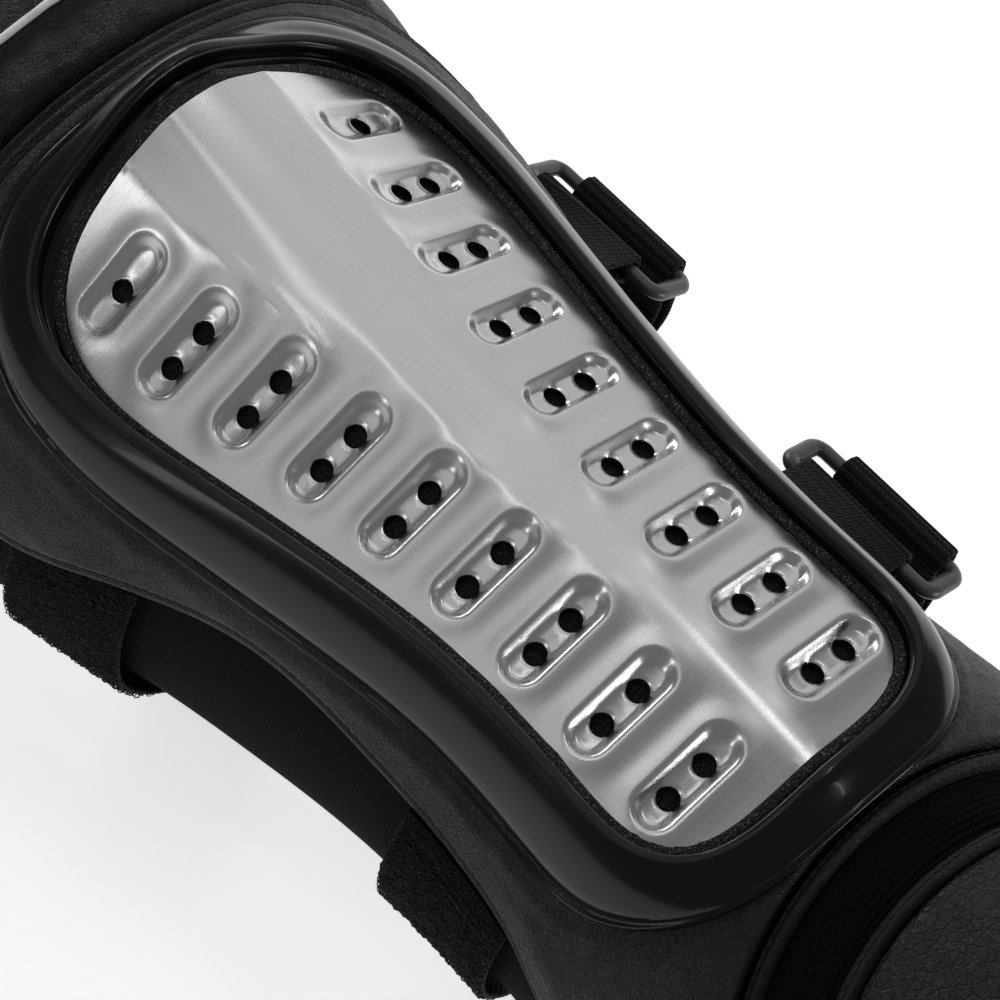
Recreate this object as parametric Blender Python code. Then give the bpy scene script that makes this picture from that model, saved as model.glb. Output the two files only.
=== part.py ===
"""Knee and shin guard: a slotted steel shin plate in a moulded frame, on a leather pad over a
fabric liner, with a padded knee cup and webbing straps that close round the back of the leg.

The guard lies on its back. X runs across it, Y runs along it towards the knee cup, and Z points
up out of the plate. Z = 0 is the surface it lies on, and Y = 0 is the middle of its length.
Heights and places along the shin are worked out from the middle slot of the plate (the datum).
"""

import math

import bmesh
import bpy
from mathutils import Vector
from mathutils.geometry import delaunay_2d_cdt

# Clearances
GAP = 0.0003                    # between pieces that touch
LAYER_GAP = 0.0009              # between the liner and what is sewn over it
FOOT_GAP = 0.0010               # between the frame's foot and the pad
SEAM_GAP = 0.0004               # between fabric panels that meet edge to edge

# Whole guard, measured along the shin from the middle slot
WIDE_REACH = 0.190              # to the hem at the wide end
KNEE_REACH = 0.289              # to the hem beyond the knee cup
LEG_HALF_WIDTH = 0.086          # half the width of the liner at the calf
AXIS_HEIGHT = 0.0595            # from the surface up to the widest place of the knee part
REST_GAP = 0.004                # from the surface up to the line of the liner, for the straps

# Steel plate
PLATE_LENGTH = 0.2204
PLATE_HALF_WIDTH = 0.058
PLATE_WALL = 0.001
PLATE_STANDOFF = 0.0048         # from the top of the liner up to the middle slot
PLATE_BOW = 0.0042              # how far the ends fall below the middle
BAND_WIDE = 0.0085              # half width of the flat ridge at the wide end
BAND_KNEE = 0.003               # half width of the flat ridge at the knee end
SLOT_ROWS = 9
WIDE_LAND = 0.0190              # from the wide end of the plate to its first slot
KNEE_LAND = 0.0158              # from the knee end of the plate to its last slot
SLOT_LENGTH = 0.033
END_SLOT_LENGTH = 0.030
SLOT_WIDTH = 0.0125
SLOT_DEPTH = 0.0021
SLOT_SLOPE = 0.0026             # width of the sloping wall of a slot
HOLE_DIAMETER = 0.006
HOLE_SPACING = 0.0116

# Frame round the plate
GASKET_WIDTH = 0.0027
GASKET_HEIGHT = 0.0020
SEAT_OVERLAP = 0.0012           # how far the seat reaches in under the plate
SEAT_WALL = 0.0023
CREST_HEIGHT = 0.0050           # above the edge of the plate
CREST_WIDTH = 0.0040
FRAME_WALL = 0.0024
FRAME_REACH = 0.0172            # from the edge of the plate out to the foot
WIDE_FLARE = 0.0087             # how much further the foot reaches at the wide end
WIDE_SHELF = 0.0040              # how much further the crest stands off at the wide end
FOOT_HEIGHT = 0.0016

# Soft layers
LINER_WALL = 0.003
PAD_WIDE = 0.0095               # padding under the frame at the wide end
PAD_KNEE = 0.0060               # padding under the frame towards the knee
PAD_EDGE_WIDE = 0.0080          # padding at the side edge at the wide end
PAD_EDGE = 0.0045               # padding at the side edge elsewhere
BED_DEPTH = 0.0072              # hollow in the pad below the surface of the plate
BED_MARGIN = 0.0047             # how far that hollow reaches past the inside of the crest
PANEL_CROWN = 0.0025            # how much the end panel swells in its middle
HEM_THICKNESS = 0.0040
GUSSET_WIDTH = 0.0150
GUSSET_THICKNESS = 0.0028
BINDING_WIDTH = 0.0048
BINDING_THICKNESS = 0.0056
CUP_HALF_WIDTH = 0.080          # measured round the knee
CUP_HALF_LENGTH = 0.071
CUP_EDGE = 0.0052
CUP_CROWN = 0.0120

# Straps
STRAP_WIDTH = 0.038
STRAP_THICKNESS = 0.0020
STRAP_CLEAR = 0.0030            # between a strap and the liner under it
STRAP_RETURN = 40.0             # degrees that the folded end runs back from its ring
FOLD_GAP = 0.0008               # between the strap and its folded end
RING_LENGTH = 0.0560
RING_BAR = 0.0042
RING_CLEAR = 6.0                # degrees from the pad to the bar that the tab holds
RING_SPREAD = 6.0               # degrees from there to the bar that the strap turns round
RING_INNER_STAND = 0.0140
RING_OUTER_STAND = 0.0258
RING_SKEW = 0.0028              # how far the tab and the strap sit off the middle of the ring

# Outline of the plate: share of its length from the wide end, share of its half width
PLATE_OUTLINE = (
    (0.000, 0.00), (0.001, 0.34), (0.006, 0.62), (0.031, 0.82), (0.077, 0.945), (0.130, 0.99),
    (0.191, 0.990), (0.270, 0.950), (0.390, 0.868), (0.500, 0.796), (0.600, 0.742), (0.690, 0.713),
    (0.790, 0.711), (0.880, 0.727), (0.930, 0.722), (0.970, 0.655), (0.993, 0.50), (1.000, 0.29),
    (1.000, 0.00))

# Distance from the outer tip of each slot to the edge of the plate, as a share of a slot's width
SLOT_MARGINS = (0.27, 0.43, 0.52, 0.45, 0.36, 0.28, 0.19, 0.20, 0.14)

# Sections of the liner: share of the guard's length from the wide end, half width and height of
# the widest place as shares of LEG_HALF_WIDTH and AXIS_HEIGHT, rise above it as a share of the
# section's own half width, and the reach of the wings in degrees from the ridge
SECTIONS = (
    (0.000, 1.130, 0.640, 0.945, 106.0),
    (0.106, 1.115, 0.655, 0.931, 122.0),
    (0.203, 1.040, 0.690, 0.966, 127.0),
    (0.367, 0.872, 0.874, 0.987, 128.0),
    (0.480, 0.797, 1.000, 0.927, 127.0),
    (0.589, 0.795, 1.000, 0.892, 124.0),
    (0.700, 0.880, 1.010, 0.820, 110.0),
    (0.850, 0.895, 1.025, 0.819, 112.0),
    (1.000, 0.865, 1.025, 0.820, 102.0))
COLUMN = {"spread": 1, "level": 2, "rise": 3, "wing": 4}

# Side edge of the shin pad: share of the guard's length, degrees from the ridge
PAD_SIDES = (
    (0.150, 70.0), (0.232, 71.0), (0.300, 65.5), (0.382, 60.0), (0.478, 63.5), (0.522, 65.5),
    (0.570, 69.5), (0.618, 78.0), (0.690, 82.0), (0.790, 80.0), (0.900, 78.0))

# Straps: name, places along the shin of its left end and of its ring, stand off the side
STRAP_PLACES = (
    ("lower", -0.062, -0.0555, 0.0010),
    ("upper", 0.065, 0.060, 0.0010))

# Parts of the pad and panel, as shares or degrees
TAPER_START = 0.84              # share of the way to the side edge where the padding thins
PANEL_TIP = 59.0                # degrees from the ridge to the tip of the end panel
PANEL_HEM = 67.0                # degrees from the ridge to the corner of the hem
PANEL_TIP_RISE = 0.040          # how far along the shin the tips reach past the middle
PANEL_TAPER = 5                 # how late along the shin the panel narrows from hem to tip
PANEL_MARGIN = 0.0060           # leather left between the frame and the end panel
HORN_PLACE = 0.782              # share of the guard's length where the pad's horns end

# Sides of the round knee cup
CUP_STEPS = 30

# Driven sizes
GUARD_LENGTH = WIDE_REACH + KNEE_REACH
MIDDLE = (KNEE_REACH - WIDE_REACH) / 2
PLATE_WIDE = -(WIDE_LAND + (PLATE_LENGTH - WIDE_LAND - KNEE_LAND) / 2)
PLATE_KNEE = PLATE_WIDE + PLATE_LENGTH
SLOT_PITCH = (PLATE_LENGTH - WIDE_LAND - KNEE_LAND) / (SLOT_ROWS - 1)
FORM_SPAN = 0.42 * PLATE_LENGTH
TURN_RADIUS = RING_BAR / 2 + 2 * GAP + STRAP_THICKNESS / 2
CUP_PLACE = PLATE_KNEE + FRAME_REACH + BINDING_WIDTH + GUSSET_WIDTH + CUP_HALF_LENGTH


def clear_scene():
    for thing in list(bpy.data.objects):
        bpy.data.objects.remove(thing, do_unlink=True)


def ease(share):
    """Smooth step from 0 to 1."""
    share = min(1.0, max(0.0, share))
    return share * share * (3 - 2 * share)


def lookup(table, column, place):
    """Read a column of a table at a place between its rows, on a smooth curve."""
    last = len(table) - 1
    place = min(table[last][0], max(table[0][0], place))
    row = max(i for i in range(last) if table[i][0] <= place)

    def slope(i):
        low, high = max(i - 1, 0), min(i + 1, last)
        return (table[high][column] - table[low][column]) / (table[high][0] - table[low][0])

    run = table[row + 1][0] - table[row][0]
    u = (place - table[row][0]) / run
    start, end = table[row][column], table[row + 1][column]
    return (start * (1 + 2 * u) * (1 - u) ** 2 + end * u * u * (3 - 2 * u)
            + run * u * (1 - u) * (slope(row) * (1 - u) - slope(row + 1) * u))


def share_of_length(y):
    return (y + WIDE_REACH) / GUARD_LENGTH


# Liner surface

def section(y):
    """Half width, height of the widest place, rise above it and fall below it."""
    place = share_of_length(y)
    half = LEG_HALF_WIDTH * lookup(SECTIONS, COLUMN["spread"], place)
    axis = AXIS_HEIGHT * lookup(SECTIONS, COLUMN["level"], place)
    return half, axis, half * lookup(SECTIONS, COLUMN["rise"], place), axis - REST_GAP


def on_leg(angle, y, off):
    """Point at an angle from the ridge, at a distance off the outside of the liner."""
    half, axis, rise, fall = section(y)
    turn = math.radians(angle)
    up = rise if math.cos(turn) >= 0 else fall
    return Vector(((half + off) * math.sin(turn), y, axis + (up + off) * math.cos(turn)))


def angle_of_arc(arc, y):
    """Angle from the ridge that a length measured round the leg covers."""
    return math.degrees(arc / section(y)[0])


def pad_side(y):
    return lookup(PAD_SIDES, 1, share_of_length(y))


def pad_padding(y):
    """Thickness of the padding under the frame."""
    blend = ease((y - PLATE_WIDE) / (0.62 * PLATE_LENGTH))
    return PAD_WIDE + (PAD_KNEE - PAD_WIDE) * blend


def pad_thickness(angle, y):
    """Thickness of the pad, thinner towards its side edges."""
    blend = ease((y - PLATE_WIDE - 0.2 * PLATE_LENGTH) / (0.2 * PLATE_LENGTH))
    edge = PAD_EDGE_WIDE + (PAD_EDGE - PAD_EDGE_WIDE) * blend
    out = ease((abs(angle) / pad_side(y) - TAPER_START) / (1 - TAPER_START))
    full = pad_padding(y)
    return full + (edge - full) * out


def pad_top(x, y):
    """Height of the outside of the pad over a place beside the plate."""
    half, axis, rise, _ = section(y)
    off = LAYER_GAP + pad_padding(y)
    return axis + (rise + off) * math.sqrt(max(0.0, 1 - (x / (half + off)) ** 2))


DATUM = on_leg(0.0, 0.0, 0.0).z + PLATE_STANDOFF


# Plate surface

def facet(y):
    """Slope of the plate's side facets, and where they cross the height of the bow."""
    t = y / FORM_SPAN
    tilt = math.radians(21.2 - 9.8 * t + 1.8 * t * t)
    cross = PLATE_HALF_WIDTH * (0.445 - 0.169 * t + 0.133 * t * t)
    return tilt, cross, DATUM - PLATE_BOW * t * t


def ridge_half_width(y):
    return BAND_WIDE + (BAND_KNEE - BAND_WIDE) * ease(y / (0.32 * PLATE_LENGTH))


def plate_height(x, y):
    tilt, cross, bow = facet(y)
    return bow + (cross - max(abs(x), ridge_half_width(y))) * math.tan(tilt)


def half_outline(steps):
    """The plate's outline down one side, evenly spaced from the wide end to the knee end."""
    rows = [(PLATE_HALF_WIDTH * across, PLATE_WIDE + PLATE_LENGTH * along)
            for along, across in PLATE_OUTLINE]
    rows = [(-rows[1][0], rows[1][1])] + rows + [(-rows[-2][0], rows[-2][1])]
    fine = []
    for i in range(1, len(rows) - 2):
        for k in range(12):
            u = k / 12
            fine.append(tuple(0.5 * (2 * b + (c - a) * u + (2 * a - 5 * b + 4 * c - d) * u * u
                                     + (3 * b - a - 3 * c + d) * u ** 3)
                              for a, b, c, d in zip(*rows[i - 1:i + 3])))
    fine.append(rows[-2])
    reach = [0.0]
    for one, two in zip(fine, fine[1:]):
        reach.append(reach[-1] + math.dist(one, two))
    points, j = [], 0
    for k in range(steps + 1):
        goal = reach[-1] * k / steps
        while j < len(reach) - 2 and reach[j + 1] < goal:
            j += 1
        u = (goal - reach[j]) / (reach[j + 1] - reach[j])
        points.append((fine[j][0] + (fine[j + 1][0] - fine[j][0]) * u,
                       fine[j][1] + (fine[j + 1][1] - fine[j][1]) * u))
    return points


def whole_outline(steps):
    """Places and outward directions all round the plate."""
    side = half_outline(steps)
    side[0], side[-1] = (0.0, side[0][1]), (0.0, side[-1][1])
    loop = side + [(-x, y) for x, y in reversed(side[1:-1])]
    stations = []
    for i, here in enumerate(loop):
        before, after = loop[i - 1], loop[(i + 1) % len(loop)]
        along = (Vector(after) - Vector(before)).normalized()
        stations.append((Vector(here), Vector((along.y, -along.x))))
    return stations


def plate_edge(y):
    """Half width of the plate."""
    side = half_outline(60)
    for one, two in zip(side, side[1:]):
        if one[1] <= y <= two[1]:
            return one[0] + (two[0] - one[0]) * (y - one[1]) / (two[1] - one[1])
    return 0.0


def slots():
    """Middle, half length and tilt of each slot on the +X side."""
    found = []
    for row in range(SLOT_ROWS):
        y = PLATE_WIDE + WIDE_LAND + SLOT_PITCH * row
        length = SLOT_LENGTH if row else END_SLOT_LENGTH
        tilt = facet(y)[0]
        tip = plate_edge(y) - SLOT_MARGINS[row % len(SLOT_MARGINS)] * SLOT_WIDTH
        found.append((tip - length / 2 * math.cos(tilt), y, length / 2, tilt, row))
    return found


def stadium(middle, half_length, radius, tilt, steps):
    """Loop with straight sides and round ends, across the plate."""
    loop = []
    for end in (1, -1):
        for k in range(steps + 1):
            turn = math.pi * (k / steps - 0.5)
            along = end * (half_length - radius + radius * math.cos(turn))
            loop.append(Vector((middle[0] + along * math.cos(tilt),
                                middle[1] + end * radius * math.sin(turn))))
    return loop


# Solids

def make_object(name, mesh_data, look):
    mesh = bpy.data.meshes.new(name)
    mesh_data.to_mesh(mesh)
    mesh_data.free()
    thing = bpy.data.objects.new(name, mesh)
    bpy.context.scene.collection.objects.link(thing)
    mesh.materials.append(material(name, *look))
    mesh.shade_smooth()
    mesh.set_sharp_from_angle(angle=math.radians(35))
    return thing


def material(name, colour, roughness, metallic):
    finish = bpy.data.materials.new(name)
    finish.use_nodes = True
    shader = finish.node_tree.nodes["Principled BSDF"]
    shader.inputs["Base Color"].default_value = (*colour, 1.0)
    shader.inputs["Roughness"].default_value = roughness
    shader.inputs["Metallic"].default_value = metallic
    return finish


def placed(point):
    return Vector((point[0], point[1] - MIDDLE, point[2]))


def slab(name, outer, inner, look):
    """Closed solid between two grids of points with as many rows and columns."""
    data = bmesh.new()
    rows, columns = len(outer), len(outer[0])
    skins = [[[data.verts.new(placed(p)) for p in row] for row in grid] for grid in (outer, inner)]
    for skin in skins:
        for i in range(rows - 1):
            for j in range(columns - 1):
                data.faces.new((skin[i][j], skin[i + 1][j], skin[i + 1][j + 1], skin[i][j + 1]))
    rim = ([(0, j) for j in range(columns)] + [(i, columns - 1) for i in range(1, rows)]
           + [(rows - 1, j) for j in range(columns - 2, -1, -1)]
           + [(i, 0) for i in range(rows - 2, 0, -1)])
    for k, (i, j) in enumerate(rim):
        m, n = rim[(k + 1) % len(rim)]
        data.faces.new((skins[0][i][j], skins[0][m][n], skins[1][m][n], skins[1][i][j]))
    bmesh.ops.recalc_face_normals(data, faces=data.faces)
    return make_object(name, data, look)


def hoop(name, sections_round, look):
    """Closed ring swept through sections that each have as many points."""
    data = bmesh.new()
    loops = [[data.verts.new(placed(p)) for p in loop] for loop in sections_round]
    count = len(loops[0])
    for i, loop in enumerate(loops):
        after = loops[(i + 1) % len(loops)]
        for j in range(count):
            k = (j + 1) % count
            data.faces.new((loop[j], loop[k], after[k], after[j]))
    bmesh.ops.recalc_face_normals(data, faces=data.faces)
    return make_object(name, data, look)


def band(name, sections_along, look):
    """Closed bar through sections that run out along one side of a path and back on the other."""
    data = bmesh.new()
    loops = [[data.verts.new(placed(p)) for p in loop] for loop in sections_along]
    count = len(loops[0])
    for loop, after in zip(loops, loops[1:]):
        for j in range(count):
            k = (j + 1) % count
            data.faces.new((loop[j], loop[k], after[k], after[j]))
    for loop in (loops[0], loops[-1]):
        for j in range(count // 2 - 1):
            data.faces.new((loop[j], loop[j + 1], loop[count - 2 - j], loop[count - 1 - j]))
    bmesh.ops.recalc_face_normals(data, faces=data.faces)
    return make_object(name, data, look)


def disc(name, point, steps, rings, look):
    """Closed round solid: point(share, turn, side) gives its outer side 1 and inner side 0."""
    data = bmesh.new()
    skins = []
    for side in (1, 0):
        centre = data.verts.new(placed(point(0.0, 0.0, side)))
        loops = [[data.verts.new(placed(point((r + 1) / rings, 2 * math.pi * k / steps, side)))
                  for k in range(steps)] for r in range(rings)]
        for k in range(steps):
            data.faces.new((centre, loops[0][k], loops[0][(k + 1) % steps]))
        for loop, after in zip(loops, loops[1:]):
            for k in range(steps):
                n = (k + 1) % steps
                data.faces.new((loop[k], after[k], after[n], loop[n]))
        skins.append(loops[-1])
    for k in range(steps):
        n = (k + 1) % steps
        data.faces.new((skins[0][k], skins[0][n], skins[1][n], skins[1][k]))
    bmesh.ops.recalc_face_normals(data, faces=data.faces)
    return make_object(name, data, look)


def inside(point, loop):
    """Whether a point of the plan lies inside a closed loop."""
    odd = False
    for one, two in zip(loop, loop[1:] + loop[:1]):
        if (one.y > point.y) != (two.y > point.y):
            if point.x < one.x + (point.y - one.y) * (two.x - one.x) / (two.y - one.y):
                odd = not odd
    return odd


def pressed_sheet(name, outline, lines, holes, loose, top, bottom, look):
    """Sheet cut to an outline with holes, whose faces follow the given lines.

    top and bottom give the height of a plan point; lines are loops to crease along.
    """
    points, edges = list(loose), []
    for loop in [outline] + lines + holes:
        start = len(points)
        points += loop
        edges += [(start + k, start + (k + 1) % len(loop)) for k in range(len(loop))]
    plan, _, faces, *_ = delaunay_2d_cdt([Vector((p.x, p.y)) for p in points], edges, [], 0, 1e-7)
    kept = []
    for face in faces:
        middle = (plan[face[0]] + plan[face[1]] + plan[face[2]]) / 3
        if inside(middle, outline) and not any(inside(middle, hole) for hole in holes):
            kept.append(face)
    data = bmesh.new()
    used = sorted({v for face in kept for v in face})
    above = {v: data.verts.new(placed((plan[v].x, plan[v].y, top(plan[v])))) for v in used}
    below = {v: data.verts.new(placed((plan[v].x, plan[v].y, bottom(plan[v])))) for v in used}
    sides = {}
    for face in kept:
        data.faces.new([above[v] for v in face])
        data.faces.new([below[v] for v in reversed(face)])
        for one, two in zip(face, face[1:] + face[:1]):
            sides[(one, two)] = sides.get((one, two), 0) + 1
    for one, two in sides:
        if (two, one) not in sides:
            data.faces.new((above[one], below[one], below[two], above[two]))
    bmesh.ops.recalc_face_normals(data, faces=data.faces)
    return make_object(name, data, look)


# Looks: colour, roughness, metallic
STEEL = ((0.62, 0.62, 0.63), 0.30, 1.0)
MOULDED = ((0.008, 0.008, 0.009), 0.22, 0.0)
FOAM = ((0.03, 0.03, 0.03), 0.95, 0.0)
LEATHER = ((0.012, 0.012, 0.013), 0.45, 0.0)
KNIT = ((0.012, 0.012, 0.012), 0.90, 0.0)
WEBBING = ((0.015, 0.015, 0.016), 0.85, 0.0)
RING_PLASTIC = ((0.03, 0.03, 0.032), 0.35, 0.0)


# Steel plate

def shin_plate():
    outline = [here for here, _ in whole_outline(28)]
    lines, holes, floors, slopes = [], [], [], []
    for across, y, half_length, tilt, row in slots():
        gaps = (0.0,) if row == 0 else (HOLE_SPACING / 2, -HOLE_SPACING / 2)
        for side in (1, -1):
            middle = (side * across, y)
            rim = stadium(middle, half_length, SLOT_WIDTH / 2, tilt, 4)
            floor = stadium(middle, half_length - SLOT_SLOPE, SLOT_WIDTH / 2 - SLOT_SLOPE, tilt, 3)
            slopes.append(rim)
            floors.append([Vector((middle[0] + (p.x - middle[0]) * 1.001,
                                   middle[1] + (p.y - middle[1]) * 1.001)) for p in floor])
            lines += [rim, floor]
            for gap in gaps:
                centre = Vector((middle[0] + side * gap * math.cos(tilt), y))
                holes.append([centre + Vector((HOLE_DIAMETER / 2 * math.cos(tilt) * math.cos(a),
                                               HOLE_DIAMETER / 2 * math.sin(a)))
                              for a in (math.pi * (k + 0.5) / 4 for k in range(8))])
    ridge = []
    for k in range(1, 12):
        y = PLATE_WIDE + PLATE_LENGTH * k / 12
        ridge += [Vector((ridge_half_width(y), y)), Vector((-ridge_half_width(y), y))]

    def top(p):
        sunk = SLOT_DEPTH if any(inside(p, floor) for floor in floors) else 0.0
        return plate_height(p.x, p.y) - sunk / math.cos(facet(p.y)[0])

    def bottom(p):
        return top(p) - PLATE_WALL / math.cos(facet(p.y)[0])

    return pressed_sheet("shin_plate", outline, lines, holes, ridge, top, bottom, STEEL)


# Frame and gasket

def crest_wall(y):
    """Distance from the edge of the plate to the inside of the crest."""
    shelf = ease((PLATE_WIDE + 0.14 * PLATE_LENGTH - y) / (0.14 * PLATE_LENGTH))
    return GAP + GASKET_WIDTH + GAP + WIDE_SHELF * shelf


def foot_reach(y):
    flare = ease((PLATE_WIDE + 0.16 * PLATE_LENGTH - y) / (0.16 * PLATE_LENGTH))
    return FRAME_REACH + WIDE_FLARE * flare


def plate_frame():
    loops = []
    for here, out in whole_outline(28):
        edge = plate_height(here.x, here.y)
        seat = edge - PLATE_WALL / math.cos(facet(here.y)[0]) - GAP
        wall, reach = crest_wall(here.y), foot_reach(here.y)

        def at(distance, height):
            spot = here + out * distance
            return Vector((spot.x, spot.y, height))

        def on_pad(distance):
            spot = here + out * distance
            return pad_top(spot.x, spot.y) + FOOT_GAP

        foot = on_pad(reach)
        shoulder = wall + CREST_WIDTH
        crest = edge + CREST_HEIGHT

        def flank(share, inwards):
            bulge = 0.16 * math.sin(math.pi * share)
            distance = shoulder + (reach - shoulder) * (share + 0.35 * bulge) - inwards
            return at(distance, crest - CREST_HEIGHT * 0.2
                      + (foot + FOOT_HEIGHT - crest) * (share - bulge) - inwards * 0.5)

        loops.append([
            at(reach, foot), at(reach, foot + FOOT_HEIGHT), flank(0.72, 0.0), flank(0.36, 0.0),
            at(shoulder, crest - CREST_HEIGHT * 0.12), at(wall + CREST_WIDTH * 0.5, crest),
            at(wall + CREST_WIDTH * 0.1, crest - CREST_HEIGHT * 0.16), at(wall, seat),
            at(-SEAT_OVERLAP, seat), at(-SEAT_OVERLAP, seat - SEAT_WALL),
            at(wall + FRAME_WALL * 0.7, seat - SEAT_WALL),
            at(wall + FRAME_WALL, crest - FRAME_WALL * 1.2), flank(0.36, FRAME_WALL),
            at(reach - FRAME_WALL, on_pad(reach - FRAME_WALL))])
    return hoop("plate_frame", loops, MOULDED)


def plate_gasket():
    loops = []
    for here, out in whole_outline(28):
        seat = plate_height(here.x, here.y) - PLATE_WALL / math.cos(facet(here.y)[0]) + GAP
        loops.append([Vector((*(here + out * distance), height))
                      for distance, height in ((GAP, seat), (GAP + GASKET_WIDTH, seat),
                                               (GAP + GASKET_WIDTH, seat + GASKET_HEIGHT),
                                               (GAP, seat + GASKET_HEIGHT))])
    return hoop("plate_gasket", loops, FOAM)


# Soft layers

def frame_end():
    """Place along the shin of the frame's foot at the wide end."""
    return PLATE_WIDE - FRAME_REACH - WIDE_FLARE


def panel_line(angle):
    """Place along the shin where the pad meets the end panel."""
    bend = min(1.0, abs(angle) / PANEL_TIP)
    return frame_end() - PANEL_MARGIN + PANEL_TIP_RISE * bend ** 4


def panel_angles():
    """Angles from the ridge of the points that the pad and the end panel share, closer together
    where the line between them bends."""
    count = 10
    side = [PANEL_TIP * math.sin(math.pi / 2 * k / count) for k in range(1, count + 1)]
    return [-angle for angle in reversed(side)] + [0.0] + side


def seam_line(angle, extra):
    """Place along the shin of the oval seam round the knee cup, widened by an extra margin."""
    y = CUP_PLACE
    horn = HORN_PLACE * GUARD_LENGTH - WIDE_REACH
    for _ in range(12):
        arc = math.radians(abs(angle)) * section(y)[0]
        share = min(1.0, arc / (CUP_HALF_WIDTH + extra))
        y = 0.5 * y + 0.5 * (CUP_PLACE - (CUP_HALF_LENGTH + extra) * math.sqrt(1 - share ** 2))
    return min(y, horn)


def on_seam(extra, turn, off):
    """Point on an oval round the knee cup; turn is 0 on the side of the plate."""
    y = CUP_PLACE - (CUP_HALF_LENGTH + extra) * math.cos(turn)
    arc = (CUP_HALF_WIDTH + extra) * math.sin(turn)
    return on_leg(angle_of_arc(arc, y), y, off)


def liner():
    rows, columns = 17, 22
    outer, inner = [], []
    for i in range(rows + 1):
        y = -WIDE_REACH + GUARD_LENGTH * i / rows
        wing = lookup(SECTIONS, COLUMN["wing"], i / rows)
        angles = [wing * (2 * j / columns - 1) for j in range(columns + 1)]
        outer.append([on_leg(angle, y, 0.0) for angle in angles])
        inner.append([on_leg(angle, y, -LINER_WALL) for angle in angles])
    return slab("liner", outer, inner, KNIT)


def pad_bed():
    """Cutter for the hollow under the plate and the seat of the frame."""
    outline = [here + out * (crest_wall(here.y) + BED_MARGIN) for here, out in whole_outline(24)]
    loose = []
    for i in range(1, 12):
        y = PLATE_WIDE + PLATE_LENGTH * i / 12
        for share in (-0.8, -0.4, 0.0, 0.4, 0.8):
            loose.append(Vector((share * plate_edge(y), y)))

    def bed(p):
        return plate_height(p.x, p.y) - BED_DEPTH

    cutter = pressed_sheet("pad_bed", outline, [], [], loose,
                           lambda p: DATUM + PLATE_HALF_WIDTH, bed, FOAM)
    cutter.hide_render = True
    cutter.display_type = "WIRE"
    return cutter


def shin_pad():
    rows = 14
    angles = panel_angles()
    side = pad_side(panel_line(PANEL_TIP))
    beyond = [PANEL_TIP + (side - PANEL_TIP) * k / 2 for k in (2, 1)]
    angles = [-angle for angle in beyond] + angles + beyond[::-1]
    outer, inner = [], []
    for angle in angles:
        start = panel_line(angle) + SEAM_GAP
        share = max(-1.0, min(1.0, angle / pad_side(start)))
        finish = 0.0
        for _ in range(12):
            finish = seam_line(share * pad_side(finish), GUSSET_WIDTH + BINDING_WIDTH + SEAM_GAP)
        line = []
        for i in range(rows + 1):
            y = start + (finish - start) * i / rows
            angle = share * pad_side(y)
            line.append((angle, y))
        outer.append([on_leg(angle, y, LAYER_GAP + pad_thickness(angle, y)) for angle, y in line])
        inner.append([on_leg(angle, y, LAYER_GAP) for angle, y in line])
    pad = slab("shin_pad", outer, inner, LEATHER)
    cut = pad.modifiers.new("bed", "BOOLEAN")
    cut.operation = "DIFFERENCE"
    cut.object = pad_bed()
    return pad


def end_panel():
    rows = 8
    outer, inner = [], []
    for i in range(rows + 1):
        v = i / rows
        line = []
        for tip_angle in panel_angles():
            share = tip_angle / PANEL_TIP
            angle = share * (PANEL_HEM + (PANEL_TIP - PANEL_HEM) * v ** PANEL_TAPER)
            y = -WIDE_REACH + (panel_line(share * PANEL_TIP) + WIDE_REACH) * v
            side = math.sqrt(max(0.0, 1 - abs(share) ** 5))
            swell = math.sin(math.pi * min(1.0, v * 0.94 + 0.06)) ** 0.6
            full = PAD_WIDE * ease(v / 0.35) + PANEL_CROWN * swell
            line.append((angle, y, HEM_THICKNESS + (full - HEM_THICKNESS) * side * ease(v / 0.3)))
        outer.append([on_leg(angle, y, LAYER_GAP + thick) for angle, y, thick in line])
        inner.append([on_leg(angle, y, LAYER_GAP) for angle, y, _ in line])
    return slab("end_panel", outer, inner, LEATHER)


def oval_strip(name, inner_extra, outer_extra, reach, thickness, steps, look):
    """Strip between two ovals round the knee cup."""
    outer, inner = [], []
    for extra in (inner_extra, outer_extra):
        turns = [math.radians(reach) * (2 * k / steps - 1) for k in range(steps + 1)]
        outer.append([on_seam(extra, turn, LAYER_GAP + thickness) for turn in turns])
        inner.append([on_seam(extra, turn, LAYER_GAP) for turn in turns])
    return slab(name, outer, inner, look)


def knee_gusset():
    return oval_strip("knee_gusset", SEAM_GAP, GUSSET_WIDTH - SEAM_GAP, 70.0, GUSSET_THICKNESS,
                      22, KNIT)


def pad_binding():
    return oval_strip("pad_binding", GUSSET_WIDTH, GUSSET_WIDTH + BINDING_WIDTH - SEAM_GAP, 64.0,
                      BINDING_THICKNESS, 20, LEATHER)


def knee_cup():
    rim = BINDING_WIDTH + SEAM_GAP

    def point(share, turn, side):
        arc = (CUP_HALF_WIDTH - rim) * share * math.sin(turn)
        y = CUP_PLACE - (CUP_HALF_LENGTH - rim) * share * math.cos(turn)
        dome = CUP_CROWN - (CUP_CROWN - CUP_EDGE) * share ** 2.4
        return on_leg(angle_of_arc(arc, y), y, LAYER_GAP + side * dome)

    return disc("knee_cup", point, CUP_STEPS, 5, LEATHER)


def cup_binding():
    loops = []
    for k in range(CUP_STEPS):
        turn = 2 * math.pi * k / CUP_STEPS
        loops.append([on_seam(extra, turn, LAYER_GAP + height)
                      for extra, height in ((0.0, 0.0), (0.0, BINDING_THICKNESS * 0.8),
                                            (-BINDING_WIDTH * 0.4, BINDING_THICKNESS),
                                            (-BINDING_WIDTH, BINDING_THICKNESS),
                                            (-BINDING_WIDTH, 0.0))])
    return hoop("cup_binding", loops, LEATHER)


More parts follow.
